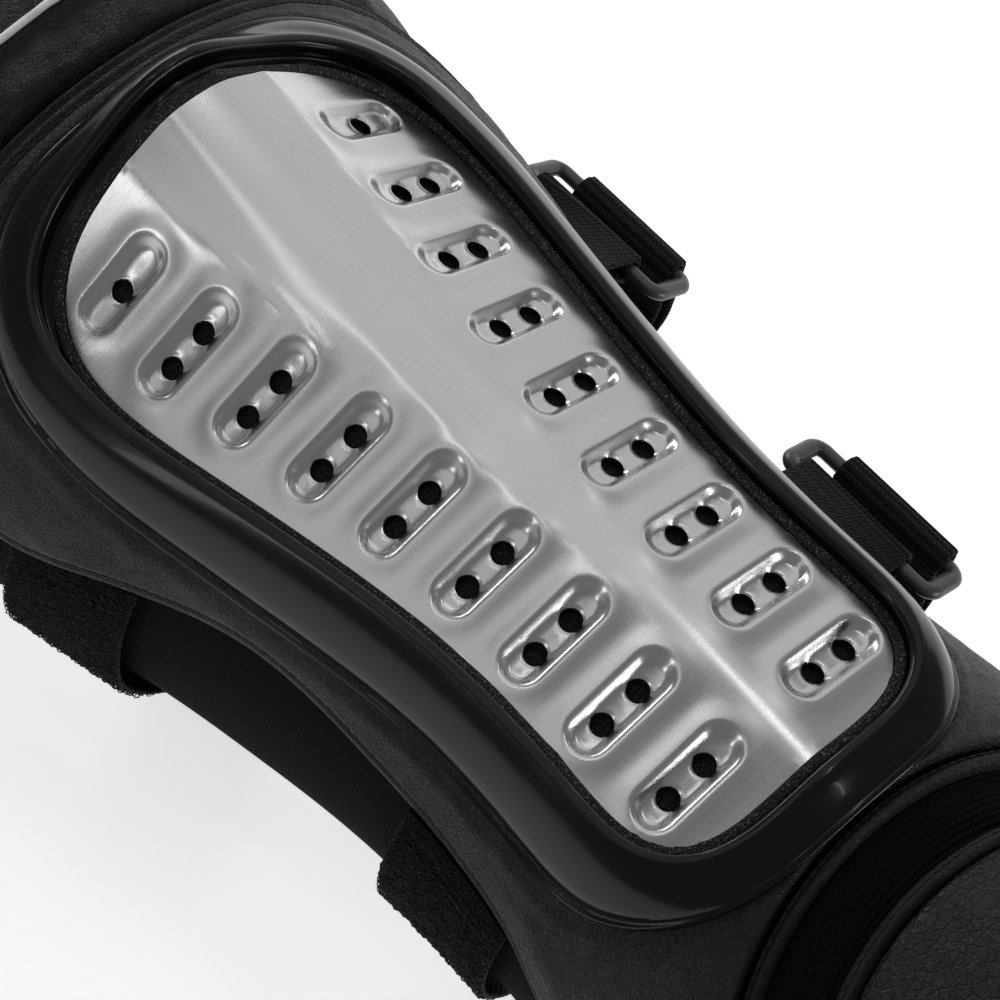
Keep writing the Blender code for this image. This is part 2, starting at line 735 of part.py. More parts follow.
# Straps

def ring_angle(y):
    """Degrees from the ridge to a ring's inner bar, clear of the pad along its whole length."""
    reach = max(pad_side(y - RING_LENGTH / 2), pad_side(y + RING_LENGTH / 2))
    return -reach - RING_CLEAR


def ring_bars(y):
    """Middles of a ring's inner and outer bar in the section at y."""
    return (on_leg(ring_angle(y), y, RING_INNER_STAND),
            on_leg(ring_angle(y) - RING_SPREAD, y, RING_OUTER_STAND))


def ring(name, y):
    """Rectangular ring with rounded corners, its long side along the shin."""
    inner, outer = ring_bars(y)
    across = (outer - inner).normalized()
    along = Vector((0.0, 1.0, 0.0))
    normal = across.cross(along)
    middle = (inner + outer) / 2
    half = ((outer - inner).length / 2, RING_LENGTH / 2 - RING_BAR / 2)
    radius = RING_BAR * 0.8
    loops = []
    for corner in range(4):
        sx, sy = ((1, -1), (1, 1), (-1, 1), (-1, -1))[corner]
        for k in range(4):
            turn = math.pi / 2 * (corner + k / 3) - math.pi / 2
            out = across * math.cos(turn) + along * math.sin(turn)
            centre = (middle + across * sx * (half[0] - radius) + along * sy * (half[1] - radius)
                      + out * radius)
            loops.append([centre + (out * math.cos(a) + normal * math.sin(a)) * RING_BAR / 2
                          for a in (math.pi * (n + 0.5) / 4 for n in range(8))])
    return hoop(name, loops, RING_PLASTIC)


def thick_path(name, path_at, width, places, look):
    """Band of webbing: path_at(y share) gives its middle line in one section."""
    sections_along = []
    for share in places:
        path = path_at(share)
        loop_out, loop_in = [], []
        for i, here in enumerate(path):
            before, after = path[max(i - 1, 0)], path[min(i + 1, len(path) - 1)]
            run = Vector((after.x - before.x, 0.0, after.z - before.z)).normalized()
            side = Vector((run.z, 0.0, -run.x)) * width / 2
            loop_out.append(here + side)
            loop_in.append(here - side)
        sections_along.append(loop_out + loop_in[::-1])
    return band(name, sections_along, look)


def wrap(bar, start, finish, steps):
    """Turn of webbing round a bar, between two directions in degrees."""
    turns = [math.radians(start + (finish - start) * k / steps) for k in range(steps + 1)]
    return [bar + Vector((math.cos(t), 0.0, math.sin(t))) * TURN_RADIUS for t in turns]


def touch(bar, spot, side):
    """Direction in degrees in which webbing that comes straight from a spot meets the turn."""
    across, up = spot.x - bar.x, spot.z - bar.z
    swing = math.acos(TURN_RADIUS / math.hypot(across, up))
    return math.degrees(math.atan2(up, across) + side * swing)


def buckled_strap(name, left, ring_place, side_stand):
    """Strap from the left edge of the pad round the back and through its ring.

    left and ring_place are places along the shin, and side_stand is how much further the strap
    stands off the sides of the liner than its clearance.
    """
    right = ring_place + RING_SKEW
    bar = ring_bars(ring_place)[1]
    entry = ring_angle(ring_place) - RING_SPREAD - 9.0
    half = STRAP_THICKNESS / 2
    under_bar = RING_OUTER_STAND - TURN_RADIUS
    pull = math.degrees(math.atan2(bar.z - section(ring_place)[1], bar.x))

    def stand_off(u):
        stand = side_stand * abs(math.sin(2 * math.pi * u)) ** 0.8
        rise = (under_bar - STRAP_CLEAR - half) * ease((u - 0.72) / 0.28)
        base = (REST_GAP - STRAP_THICKNESS) * ease((u - 0.2) / 0.2) * ease((0.85 - u) / 0.2)
        return max(STRAP_CLEAR + half + stand + rise, base + half)

    def path_at(share):
        shift = share * STRAP_WIDTH / 2
        path = []
        start = pad_side(left + shift) + math.degrees(4 * GAP / LEG_HALF_WIDTH)
        end = 360 + entry
        steps = 22
        for k in range(steps + 1):
            u = k / steps
            y = left + (right - left) * ease(u / 0.85)
            local = y + shift * ease((1.0 - u) / 0.10)
            spot = on_leg(start + (end - start) * u, local, stand_off(u))
            path.append(Vector((spot.x, y + shift, max(spot.z, half))))
        for spot in wrap(bar, pull + 180, pull + 370, 7):
            path.append(Vector((spot.x, right + shift, spot.z)))
        for k in range(1, 7):
            back = STRAP_RETURN * k / 6 - 2.0
            lie = STRAP_THICKNESS + FOLD_GAP
            lie += (2 * TURN_RADIUS - lie) * (1 - k / 6) ** 2
            spot = on_leg(end - back, right, stand_off(1 - back / (end - start)) + lie)
            path.append(Vector((spot.x, right + shift, spot.z)))
        return path

    return thick_path(name, path_at, STRAP_THICKNESS, (-1, 0, 1), WEBBING)


def ring_tab(name, ring_place):
    """Short loop of webbing that holds the inner bar of a ring to the edge of the pad."""
    y = ring_place - RING_SKEW
    bar = ring_bars(ring_place)[0]

    def path_at(share):
        here = y + share * STRAP_WIDTH / 2
        edge = -pad_side(here) - math.degrees(6 * GAP / LEG_HALF_WIDTH)
        foot = on_leg(edge, here, 2 * GAP + STRAP_THICKNESS / 2)
        back = on_leg(edge, here, 2 * GAP + STRAP_THICKNESS * 2.0)
        path = [Vector((foot.x, here, foot.z))]
        for spot in wrap(bar, touch(bar, foot, -1), touch(bar, back, 1) - 360, 8):
            path.append(Vector((spot.x, here, spot.z)))
        path.append(Vector((back.x, here, back.z)))
        return path

    return thick_path(name, path_at, STRAP_THICKNESS, (-1, 0, 1), WEBBING)


def knee_strap():
    """Plain elastic strap behind the knee, sewn to both sides of the liner."""
    half = STRAP_THICKNESS / 2

    def path_at(share):
        y = CUP_PLACE + 0.016 + share * STRAP_WIDTH / 2
        path = []
        for k in range(21):
            angle = 78 + 204 * k / 20
            sewn = ease(min(k, 20 - k) / 4)
            base = (REST_GAP - STRAP_THICKNESS) * ease(1 - abs(angle - 180) / 60)
            clear = 2 * GAP + (STRAP_CLEAR - 2 * GAP) * sewn
            spot = on_leg(angle, y, max(clear, base) + half)
            path.append(Vector((spot.x, y, max(spot.z, half))))
        return path

    return thick_path("knee_strap", path_at, STRAP_THICKNESS, (-1, 1), WEBBING)


def main():
    clear_scene()
    shin_plate()
    plate_gasket()
    plate_frame()
    liner()
    shin_pad()
    end_panel()
    pad_binding()
    knee_gusset()
    cup_binding()
    knee_cup()
    for name, left, ring_place, stand in STRAP_PLACES:
        buckled_strap("strap_" + name, left, ring_place, stand)
        ring("ring_" + name, ring_place)
        ring_tab("ring_tab_" + name, ring_place)
    knee_strap()


main()
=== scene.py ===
"""Knee and shin guard dressed for its picture.

Each operator builds one piece of the guard, or a group of like pieces, in metres over the frame of
solids. X runs across the guard, Y along it towards the knee cup, and Z points up out of the plate.
"""

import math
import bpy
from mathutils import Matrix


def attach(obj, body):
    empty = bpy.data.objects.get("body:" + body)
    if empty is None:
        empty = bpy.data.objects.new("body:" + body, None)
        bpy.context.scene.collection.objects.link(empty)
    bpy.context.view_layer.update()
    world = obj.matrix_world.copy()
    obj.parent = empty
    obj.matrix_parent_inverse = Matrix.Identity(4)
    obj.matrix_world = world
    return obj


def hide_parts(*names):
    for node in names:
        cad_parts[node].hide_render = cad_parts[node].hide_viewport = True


bl_info = {
    "name": "Knee and Shin Guard",
    "version": (1, 0, 0),
    "blender": (4, 5, 0),
    "location": "3D View > Sidebar > Guard",
    "description": "Builds a slotted steel shin guard with its leather pads, knit liner and straps",
    "category": "Add Mesh",
}

from functools import lru_cache

import bmesh
import bpy
from mathutils import Matrix, Vector, noise
from mathutils.geometry import delaunay_2d_cdt
from mathutils.kdtree import KDTree

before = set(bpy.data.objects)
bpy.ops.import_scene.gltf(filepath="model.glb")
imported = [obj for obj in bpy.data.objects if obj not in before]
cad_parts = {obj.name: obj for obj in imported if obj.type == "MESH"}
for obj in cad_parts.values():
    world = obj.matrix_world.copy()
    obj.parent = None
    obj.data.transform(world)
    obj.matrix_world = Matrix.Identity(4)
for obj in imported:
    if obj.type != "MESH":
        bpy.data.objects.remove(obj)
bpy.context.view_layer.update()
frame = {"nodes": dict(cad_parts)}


# Clearances
GAP = 0.0003                    # between pieces that touch
LAYER_GAP = 0.0009              # between the liner and what is sewn over it
FOOT_GAP = 0.0010               # between the frame's foot and the pad
SEAM_GAP = 0.0004               # between fabric panels that meet edge to edge

# Whole guard, measured along the shin from the middle slot
WIDE_REACH = 0.190              # to the hem at the wide end
KNEE_REACH = 0.289              # to the hem beyond the knee cup
LEG_HALF_WIDTH = 0.086          # half the width of the liner at the calf
AXIS_HEIGHT = 0.0595            # from the surface up to the widest place of the knee part
REST_GAP = 0.004                # from the surface up to the line of the liner, for the straps

# Steel plate
PLATE_LENGTH = 0.2204
PLATE_HALF_WIDTH = 0.058
PLATE_WALL = 0.001
PLATE_STANDOFF = 0.0048         # from the top of the liner up to the middle slot
PLATE_BOW = 0.0042              # how far the ends fall below the middle
BAND_WIDE = 0.0085              # half width of the flat ridge at the wide end
BAND_KNEE = 0.003               # half width of the flat ridge at the knee end
SLOT_ROWS = 9
WIDE_LAND = 0.0190              # from the wide end of the plate to its first slot
KNEE_LAND = 0.0158              # from the knee end of the plate to its last slot
SLOT_LENGTH = 0.033
END_SLOT_LENGTH = 0.030
SLOT_WIDTH = 0.0125
SLOT_DEPTH = 0.0021
HOLE_DIAMETER = 0.006
HOLE_SPACING = 0.0116

# Frame round the plate
GASKET_WIDTH = 0.0027
GASKET_HEIGHT = 0.0020
SEAT_OVERLAP = 0.0012           # how far the seat reaches in under the plate
SEAT_WALL = 0.0023
CREST_HEIGHT = 0.0050           # above the edge of the plate
CREST_WIDTH = 0.0040
FRAME_WALL = 0.0024
FRAME_REACH = 0.0172            # from the edge of the plate out to the foot
WIDE_FLARE = 0.0087             # how much further the foot reaches at the wide end
WIDE_SHELF = 0.0040             # how much further the crest stands off at the wide end
FOOT_HEIGHT = 0.0016

# Soft layers
LINER_WALL = 0.003
PAD_WIDE = 0.0095               # padding under the frame at the wide end
PAD_KNEE = 0.0060               # padding under the frame towards the knee
PAD_EDGE_WIDE = 0.0080          # padding at the side edge at the wide end
PAD_EDGE = 0.0045               # padding at the side edge elsewhere
BED_DEPTH = 0.0072              # hollow in the pad below the surface of the plate
PANEL_CROWN = 0.0025            # how much the end panel swells in its middle
HEM_THICKNESS = 0.0040
GUSSET_WIDTH = 0.0150
GUSSET_THICKNESS = 0.0028
BINDING_WIDTH = 0.0048
BINDING_THICKNESS = 0.0056
CUP_HALF_WIDTH = 0.080          # measured round the knee
CUP_HALF_LENGTH = 0.071
CUP_EDGE = 0.0052
CUP_CROWN = 0.0120

# Straps
STRAP_WIDTH = 0.038
STRAP_THICKNESS = 0.0020
STRAP_CLEAR = 0.0030            # between a strap and the liner under it
STRAP_RETURN = 40.0             # degrees that the folded end runs back from its ring
FOLD_GAP = 0.0008               # between the strap and its folded end
RING_LENGTH = 0.0560
RING_BAR = 0.0042
RING_CLEAR = 6.0                # degrees from the pad to the bar that the tab holds
RING_SPREAD = 6.0               # degrees from there to the bar that the strap turns round
RING_INNER_STAND = 0.0140
RING_OUTER_STAND = 0.0258
RING_SKEW = 0.0028              # how far the tab and the strap sit off the middle of the ring

# Outline of the plate: share of its length from the wide end, share of its half width
PLATE_OUTLINE = (
    (0.000, 0.00), (0.001, 0.34), (0.006, 0.62), (0.031, 0.82), (0.077, 0.945), (0.130, 0.99),
    (0.191, 0.990), (0.270, 0.950), (0.390, 0.868), (0.500, 0.796), (0.600, 0.742), (0.690, 0.713),
    (0.790, 0.711), (0.880, 0.727), (0.930, 0.722), (0.970, 0.655), (0.993, 0.50), (1.000, 0.29),
    (1.000, 0.00))

# Distance from the outer tip of each slot to the edge of the plate, as a share of a slot's width
SLOT_MARGINS = (0.27, 0.43, 0.52, 0.45, 0.36, 0.28, 0.19, 0.20, 0.14)

# Sections of the liner: share of the guard's length from the wide end, half width and height of
# the widest place as shares of LEG_HALF_WIDTH and AXIS_HEIGHT, rise above it as a share of the
# section's own half width, and the reach of the wings in degrees from the ridge
SECTIONS = (
    (0.000, 1.130, 0.640, 0.945, 106.0),
    (0.106, 1.115, 0.655, 0.931, 122.0),
    (0.203, 1.040, 0.690, 0.966, 127.0),
    (0.367, 0.872, 0.874, 0.987, 128.0),
    (0.480, 0.797, 1.000, 0.927, 127.0),
    (0.589, 0.795, 1.000, 0.892, 124.0),
    (0.700, 0.880, 1.010, 0.820, 110.0),
    (0.850, 0.895, 1.025, 0.819, 112.0),
    (1.000, 0.865, 1.025, 0.820, 102.0))
COLUMN = {"spread": 1, "level": 2, "rise": 3, "wing": 4}

# Side edge of the shin pad: share of the guard's length, degrees from the ridge
PAD_SIDES = (
    (0.150, 70.0), (0.232, 71.0), (0.300, 65.5), (0.382, 60.0), (0.478, 63.5), (0.522, 65.5),
    (0.570, 69.5), (0.618, 78.0), (0.690, 82.0), (0.790, 80.0), (0.900, 78.0))

# Straps: name, places along the shin of its left end and of its ring, stand off the side
STRAP_PLACES = (
    ("lower", -0.062, -0.0555, 0.0010),
    ("upper", 0.065, 0.060, 0.0010))

# Parts of the pad and panel
TAPER_START = 0.84              # share of the way to the side edge where the padding thins
PANEL_TIP = 59.0                # degrees from the ridge to the tip of the end panel
PANEL_HEM = 67.0                # degrees from the ridge to the corner of the hem
PANEL_TIP_RISE = 0.040          # how far along the shin the tips reach past the middle
PANEL_TAPER = 5                 # how late along the shin the panel narrows from hem to tip
PANEL_MARGIN = 0.0060           # leather left between the frame and the end panel
HORN_PLACE = 0.782              # share of the guard's length where the pad's horns end

# Driven sizes
GUARD_LENGTH = WIDE_REACH + KNEE_REACH
MIDDLE = (KNEE_REACH - WIDE_REACH) / 2
PLATE_WIDE = -(WIDE_LAND + (PLATE_LENGTH - WIDE_LAND - KNEE_LAND) / 2)
PLATE_KNEE = PLATE_WIDE + PLATE_LENGTH
SLOT_PITCH = (PLATE_LENGTH - WIDE_LAND - KNEE_LAND) / (SLOT_ROWS - 1)
FORM_SPAN = 0.42 * PLATE_LENGTH
TURN_RADIUS = RING_BAR / 2 + 2 * GAP + STRAP_THICKNESS / 2
CUP_PLACE = PLATE_KNEE + FRAME_REACH + BINDING_WIDTH + GUSSET_WIDTH + CUP_HALF_LENGTH

# Fold of the plate beside its ridge at the wide end, and the bead along it
FOLD_WIDE = 0.0225              # distance from the middle of the plate at its wide end
FOLD_KNEE = 0.0170
FOLD_END = -0.047               # place along the shin where the fold runs out
FOLD_PAST = 0.022               # how far past that place the last of it goes
FOLD_FADE = 0.036               # length over which it fades
FOLD_HEIGHT = 0.0017
FOLD_FALL = 0.022               # width of the slope beyond the fold
FOLD_BEAD = 0.00042
FOLD_BEAD_WIDTH = 0.0009
RIDGE_BEAD = 0.00022            # along the ridge towards the knee
RIDGE_BEAD_WIDTH = 0.0008
FOLD_SOFT_WIDE = 0.0034         # rounding of the bends beside the ridge
FOLD_SOFT_KNEE = 0.0009

# Pressed and punched details of the plate
SWELL_WIDTH = 0.0034            # over which the raised metal round a slot falls away
SLOT_ROUND = 0.0036             # width of the rounded wall of a slot
HOLE_LIP = 0.00042              # how far the edge of a hole is drawn down
HOLE_LIP_WIDTH = 0.00055

# Mesh of the plate: its grid, steps of its outline and of its holes, and the finer rows, with
# those of a slot at distances from its rim
PLATE_GRID = 0.0019
OUTLINE_STEPS = 110
HOLE_STEPS = 36
LINE_PITCH = 0.0016             # longest step along a row beside a slot
SLOT_LINES = (0.0024, 0.0014, 0.0006, 0.0, -0.0006, -0.0012, -0.0018, -0.0024, -0.0030, -0.0037)
HOLE_RINGS = (1.0, 1.09, 1.2, 1.36)         # shares of a hole's radius
EDGE_LINES = (0.25, 0.6, 1.0, 1.5, 2.0)     # shares of EDGE_LINE in from the plate's edge
EDGE_LINE = 0.0009

# Seams, from the edge that each runs along
PAD_SEAM = 0.0034
PANEL_SEAM = 0.0048
HEM_SEAM = 0.0082               # along the liner's side edges
HEM_END_SEAM = 0.0090           # along the liner's ends
RIM_SEAM = 0.0066               # beside the frame, from the end panel
THREAD_LIFT = 0.0002            # of the stitches above the leather

# Arcs from the ridge to a side edge, which turn shares of a width into lengths
LINER_ARC = 0.17
PAD_ARC = 0.11
PANEL_ARC = 0.085

# Rough looped face of the straps, from their sewn ends
PILE_LENGTH = 0.062
PILE_SEED = 7                   # fixes how the loops drift

# How much less the frame reaches at the wide end than the solid that it dresses
WIDE_TUCK = 0.0055

# Rounds of smoothing
OUTLINE_PASSES = 60             # of the plate's outline
EDGE_PASSES = 16                # of the height of the frame

# Piping on the end panel
STRIPE_PLACE = 0.026            # from the hem
STRIPE_RADIUS = 0.0010

# Wings of the liner, which stand off beyond the pad at the wide end
FLARE = 0.0060
FLARE_START, FLARE_FULL = 66.0, 84.0        # degrees from the ridge
FLARE_WIDE, FLARE_KNEE = -0.100, -0.086     # places along the shin

# Soft lights: name, direction from the guard, distance, width, depth and brightness
LIGHTS = (
    ("ceiling_light", (-0.42, -0.31, 0.86), 1.3, 1.10, 1.10, 0.50),
    ("side_light", (-0.93, -0.31, 0.22), 1.2, 1.30, 1.00, 0.50),
    ("fold_light", (0.06, -0.31, 0.95), 1.2, 0.10, 0.60, 2.0),
    ("facet_light", (0.42, -0.31, 0.85), 1.2, 0.40, 0.70, 0.50),
    ("rim_light", (0.84, -0.31, 0.44), 1.2, 0.09, 0.60, 4.5),
    ("back_light", (-0.25, -0.93, 0.24), 1.3, 0.90, 0.12, 14.0),
    ("knee_light", (-0.34, 0.92, 0.20), 1.3, 0.90, 0.12, 16.0),
    ("high_light", (-0.37, 0.10, 0.92), 1.5, 0.50, 0.05, 9.0))
LIGHT_AIM = (0.0, 0.0, 0.08)
WORLD_STRENGTH = 0.20
FLOOR_GLOW = 0.62
FLOOR_REACH = 8.0

# Camera: place, lens, and its axes right, down and back towards itself
CAMERA_PLACE = (0.2784, 0.1837, 0.7583)
CAMERA_LENS = 108.0
CAMERA_AXES = ((-0.7335, 0.6753, 0.0771), (0.5670, 0.6705, -0.4785), (0.3748, 0.3073, 0.8747))


def ease(share):
    """Smooth step from 0 to 1."""
    share = min(1.0, max(0.0, share))
    return share * share * (3 - 2 * share)


def mix(low, high, share):
    return low + (high - low) * share


def lookup(table, column, place):
    """Read a column of a table at a place between its rows, on a smooth curve."""
    last = len(table) - 1
    place = min(table[last][0], max(table[0][0], place))
    row = max(i for i in range(last) if table[i][0] <= place)

    def slope(i):
        low, high = max(i - 1, 0), min(i + 1, last)
        return (table[high][column] - table[low][column]) / (table[high][0] - table[low][0])

    run = table[row + 1][0] - table[row][0]
    u = (place - table[row][0]) / run
    start, end = table[row][column], table[row + 1][column]
    return (start * (1 + 2 * u) * (1 - u) ** 2 + end * u * u * (3 - 2 * u)
            + run * u * (1 - u) * (slope(row) * (1 - u) - slope(row + 1) * u))


def spline(a, b, c, d, u):
    """Value at a share u of the way from b to c, on a smooth curve through all four."""
    return 0.5 * (2 * b + (c - a) * u + (2 * a - 5 * b + 4 * c - d) * u * u
                  + (3 * b - a - 3 * c + d) * u ** 3)


def even(low, high, count):
    """Numbers in equal steps, both ends included."""
    return [mix(low, high, k / count) for k in range(count + 1)]


def circle(count):
    """Directions all round, in radians."""
    return [2 * math.pi * k / count for k in range(count)]


def reaches(path):
    """Distance along a path to each of its points."""
    reach = [0.0]
    for one, two in zip(path, path[1:]):
        reach.append(reach[-1] + (two - one).length)
    return reach


def over(spot, height):
    """Point above a place of the plan."""
    return Vector((spot.x, spot.y, height))


def share_of_length(y):
    return (y + WIDE_REACH) / GUARD_LENGTH


@lru_cache(maxsize=None)
def section(y):
    """Half width, height of the widest place, rise above it and fall below it."""
    place = share_of_length(y)
    half = LEG_HALF_WIDTH * lookup(SECTIONS, COLUMN["spread"], place)
    axis = AXIS_HEIGHT * lookup(SECTIONS, COLUMN["level"], place)
    return half, axis, half * lookup(SECTIONS, COLUMN["rise"], place), axis - REST_GAP


def on_leg(angle, y, off):
    """Point at an angle from the ridge, at a distance off the outside of the liner."""
    half, axis, rise, fall = section(y)
    turn = math.radians(angle)
    up = rise if math.cos(turn) >= 0 else fall
    return Vector(((half + off) * math.sin(turn), y, axis + (up + off) * math.cos(turn)))


DATUM = on_leg(0.0, 0.0, 0.0).z + PLATE_STANDOFF


def angle_of_arc(arc, y):
    """Angle from the ridge that a length measured round the leg covers."""
    return math.degrees(arc / section(y)[0])


def pad_side(y):
    return lookup(PAD_SIDES, 1, share_of_length(y))


def pad_padding(y):
    """Thickness of the padding under the frame."""
    blend = ease((y - PLATE_WIDE) / (0.62 * PLATE_LENGTH))
    return mix(PAD_WIDE, PAD_KNEE, blend)


def pad_thickness(angle, y):
    """Thickness of the pad, thinner towards its side edges."""
    blend = ease((y - PLATE_WIDE - 0.2 * PLATE_LENGTH) / (0.2 * PLATE_LENGTH))
    edge = mix(PAD_EDGE_WIDE, PAD_EDGE, blend)
    out = ease((abs(angle) / pad_side(y) - TAPER_START) / (1 - TAPER_START))
    return mix(pad_padding(y), edge, out)


def pad_top(x, y):
    """Height of the outside of the pad over a place beside the plate."""
    half, axis, rise, _ = section(y)
    off = LAYER_GAP + pad_padding(y)
    return axis + (rise + off) * math.sqrt(max(0.0, 1 - (x / (half + off)) ** 2))


def facet(y):
    """Slope of the plate's side facets, and where they cross the height of the bow."""
    t = y / FORM_SPAN
    tilt = math.radians(21.2 - 9.8 * t + 1.8 * t * t)
    cross = PLATE_HALF_WIDTH * (0.445 - 0.169 * t + 0.133 * t * t)
    return tilt, cross, DATUM - PLATE_BOW * t * t


def ridge_half_width(y):
    return mix(BAND_WIDE, BAND_KNEE, ease(y / (0.32 * PLATE_LENGTH)))


def plate_height(x, y):
    tilt, cross, bow = facet(y)
    return bow + (cross - max(abs(x), ridge_half_width(y))) * math.tan(tilt)


@lru_cache(maxsize=None)
def half_outline(steps):
    """The plate's outline down one side, evenly spaced from the wide end to the knee end."""
    rows = [(PLATE_HALF_WIDTH * across, PLATE_WIDE + PLATE_LENGTH * along)
            for along, across in PLATE_OUTLINE]
    rows = [(-rows[1][0], rows[1][1])] + rows + [(-rows[-2][0], rows[-2][1])]
    fine = []
    for i in range(1, len(rows) - 2):
        for k in range(12):
            fine.append(tuple(spline(*four, k / 12) for four in zip(*rows[i - 1:i + 3])))
    fine.append(rows[-2])
    fine = evenly(fine, 400)
    for _ in range(OUTLINE_PASSES):
        mirrored = [(-fine[1][0], fine[1][1])] + fine + [(-fine[-2][0], fine[-2][1])]
        fine = [tuple((a + 2 * b + c) / 4 for a, b, c in zip(*mirrored[i:i + 3]))
                for i in range(len(fine))]
    return evenly(fine, steps)


def evenly(fine, steps):
    """Points at equal distances along a path of the plan."""
    reach = [0.0]
    for one, two in zip(fine, fine[1:]):
        reach.append(reach[-1] + math.dist(one, two))
    points, j = [], 0
    for k in range(steps + 1):
        goal = reach[-1] * k / steps
        while j < len(reach) - 2 and reach[j + 1] < goal:
            j += 1
        u = (goal - reach[j]) / (reach[j + 1] - reach[j])
        points.append(tuple(mix(a, b, u) for a, b in zip(fine[j], fine[j + 1])))
    return points


def whole_outline(steps):
    """Places and outward directions all round the plate."""
    side = list(half_outline(steps))
    side[0], side[-1] = (0.0, side[0][1]), (0.0, side[-1][1])
    loop = side + [(-x, y) for x, y in reversed(side[1:-1])]
    stations = []
    for i, here in enumerate(loop):
        before, after = loop[i - 1], loop[(i + 1) % len(loop)]
        along = (Vector(after) - Vector(before)).normalized()
        stations.append((Vector(here), Vector((along.y, -along.x))))
    return stations


def plate_edge(y):
    """Half width of the plate."""
    side = half_outline(60)
    for one, two in zip(side, side[1:]):
        if one[1] <= y <= two[1]:
            return mix(one[0], two[0], (y - one[1]) / (two[1] - one[1]))
    return 0.0


@lru_cache(maxsize=None)
def slots():
    """Middle, half length and tilt of each slot on the +X side."""
    found = []
    for row in range(SLOT_ROWS):
        y = PLATE_WIDE + WIDE_LAND + SLOT_PITCH * row
        length = SLOT_LENGTH if row else END_SLOT_LENGTH
        tilt = facet(y)[0]
        tip = plate_edge(y) - SLOT_MARGINS[row % len(SLOT_MARGINS)] * SLOT_WIDTH
        found.append((tip - length / 2 * math.cos(tilt), y, length / 2, tilt, row))
    return found


def stadium(middle, half_length, radius, tilt, steps):
    """Loop with straight sides and round ends, across the plate."""
    loop = []
    for end in (1, -1):
        for k in range(steps + 1):
            turn = math.pi * (k / steps - 0.5)
            along = end * (half_length - radius + radius * math.cos(turn))
            loop.append(Vector((middle[0] + along * math.cos(tilt),
                                middle[1] + end * radius * math.sin(turn))))
    return loop


def placed(point):
    return Vector((point[0], point[1] - MIDDLE, point[2]))


def near_tree(spots):
    """Tree that finds the nearest of some places of the plan."""
    tree = KDTree(len(spots))
    for k, spot in enumerate(spots):
        tree.insert((spot.x, spot.y, 0.0), k)
    tree.balance()
    return tree


def inside(point, loop):
    """Whether a point of the plan lies inside a closed loop."""
    odd = False
    for one, two in zip(loop, loop[1:] + loop[:1]):
        if (one.y > point.y) != (two.y > point.y):
            if point.x < one.x + (point.y - one.y) * (two.x - one.x) / (two.y - one.y):
                odd = not odd
    return odd


def crest_wall(y):
    """Distance from the edge of the plate to the inside of the crest."""
    shelf = ease((PLATE_WIDE + 0.14 * PLATE_LENGTH - y) / (0.14 * PLATE_LENGTH))
    return GAP + GASKET_WIDTH + GAP + WIDE_SHELF * shelf


def foot_reach(y):
    flare = ease((PLATE_WIDE + 0.16 * PLATE_LENGTH - y) / (0.16 * PLATE_LENGTH))
    return FRAME_REACH + WIDE_FLARE * flare


def rim_reach(y):
    """Reach of the frame's foot as it shows, tucked in a little at the wide end."""
    reach = foot_reach(y)
    return reach - WIDE_TUCK * (reach - FRAME_REACH) / WIDE_FLARE


def frame_end():
    """Place along the shin of the frame's foot at the wide end."""
    return PLATE_WIDE - FRAME_REACH - WIDE_FLARE


def panel_line(angle):
    """Place along the shin where the pad meets the end panel."""
    bend = min(1.0, abs(angle) / PANEL_TIP)
    return frame_end() - PANEL_MARGIN + PANEL_TIP_RISE * bend ** 4


def seam_line(angle, extra):
    """Place along the shin of the oval seam round the knee cup, widened by an extra margin."""
    y = CUP_PLACE
    horn = HORN_PLACE * GUARD_LENGTH - WIDE_REACH
    for _ in range(12):
        arc = math.radians(abs(angle)) * section(y)[0]
        share = min(1.0, arc / (CUP_HALF_WIDTH + extra))
        y = 0.5 * y + 0.5 * (CUP_PLACE - (CUP_HALF_LENGTH + extra) * math.sqrt(1 - share ** 2))
    return min(y, horn)


def on_seam(extra, turn, off):
    """Point on an oval round the knee cup; turn is 0 on the side of the plate."""
    y = CUP_PLACE - (CUP_HALF_LENGTH + extra) * math.cos(turn)
    arc = (CUP_HALF_WIDTH + extra) * math.sin(turn)
    return on_leg(angle_of_arc(arc, y), y, off)


def ring_angle(y):
    """Degrees from the ridge to a ring's inner bar, clear of the pad along its whole length."""
    reach = max(pad_side(y - RING_LENGTH / 2), pad_side(y + RING_LENGTH / 2))
    return -reach - RING_CLEAR


def ring_bars(y):
    """Middles of a ring's inner and outer bar in the section at y."""
    return (on_leg(ring_angle(y), y, RING_INNER_STAND),
            on_leg(ring_angle(y) - RING_SPREAD, y, RING_OUTER_STAND))


def wrap(bar, start, finish, steps):
    """Turn of webbing round a bar, between two directions in degrees."""
    turns = [math.radians(turn) for turn in even(start, finish, steps)]
    return [bar + Vector((math.cos(t), 0.0, math.sin(t))) * TURN_RADIUS for t in turns]


def touch(bar, spot, side):
    """Direction in degrees in which webbing that comes straight from a spot meets the turn."""
    across, up = spot.x - bar.x, spot.z - bar.z
    swing = math.acos(TURN_RADIUS / math.hypot(across, up))
    return math.degrees(math.atan2(up, across) + side * swing)


# Shader arithmetic and finishes

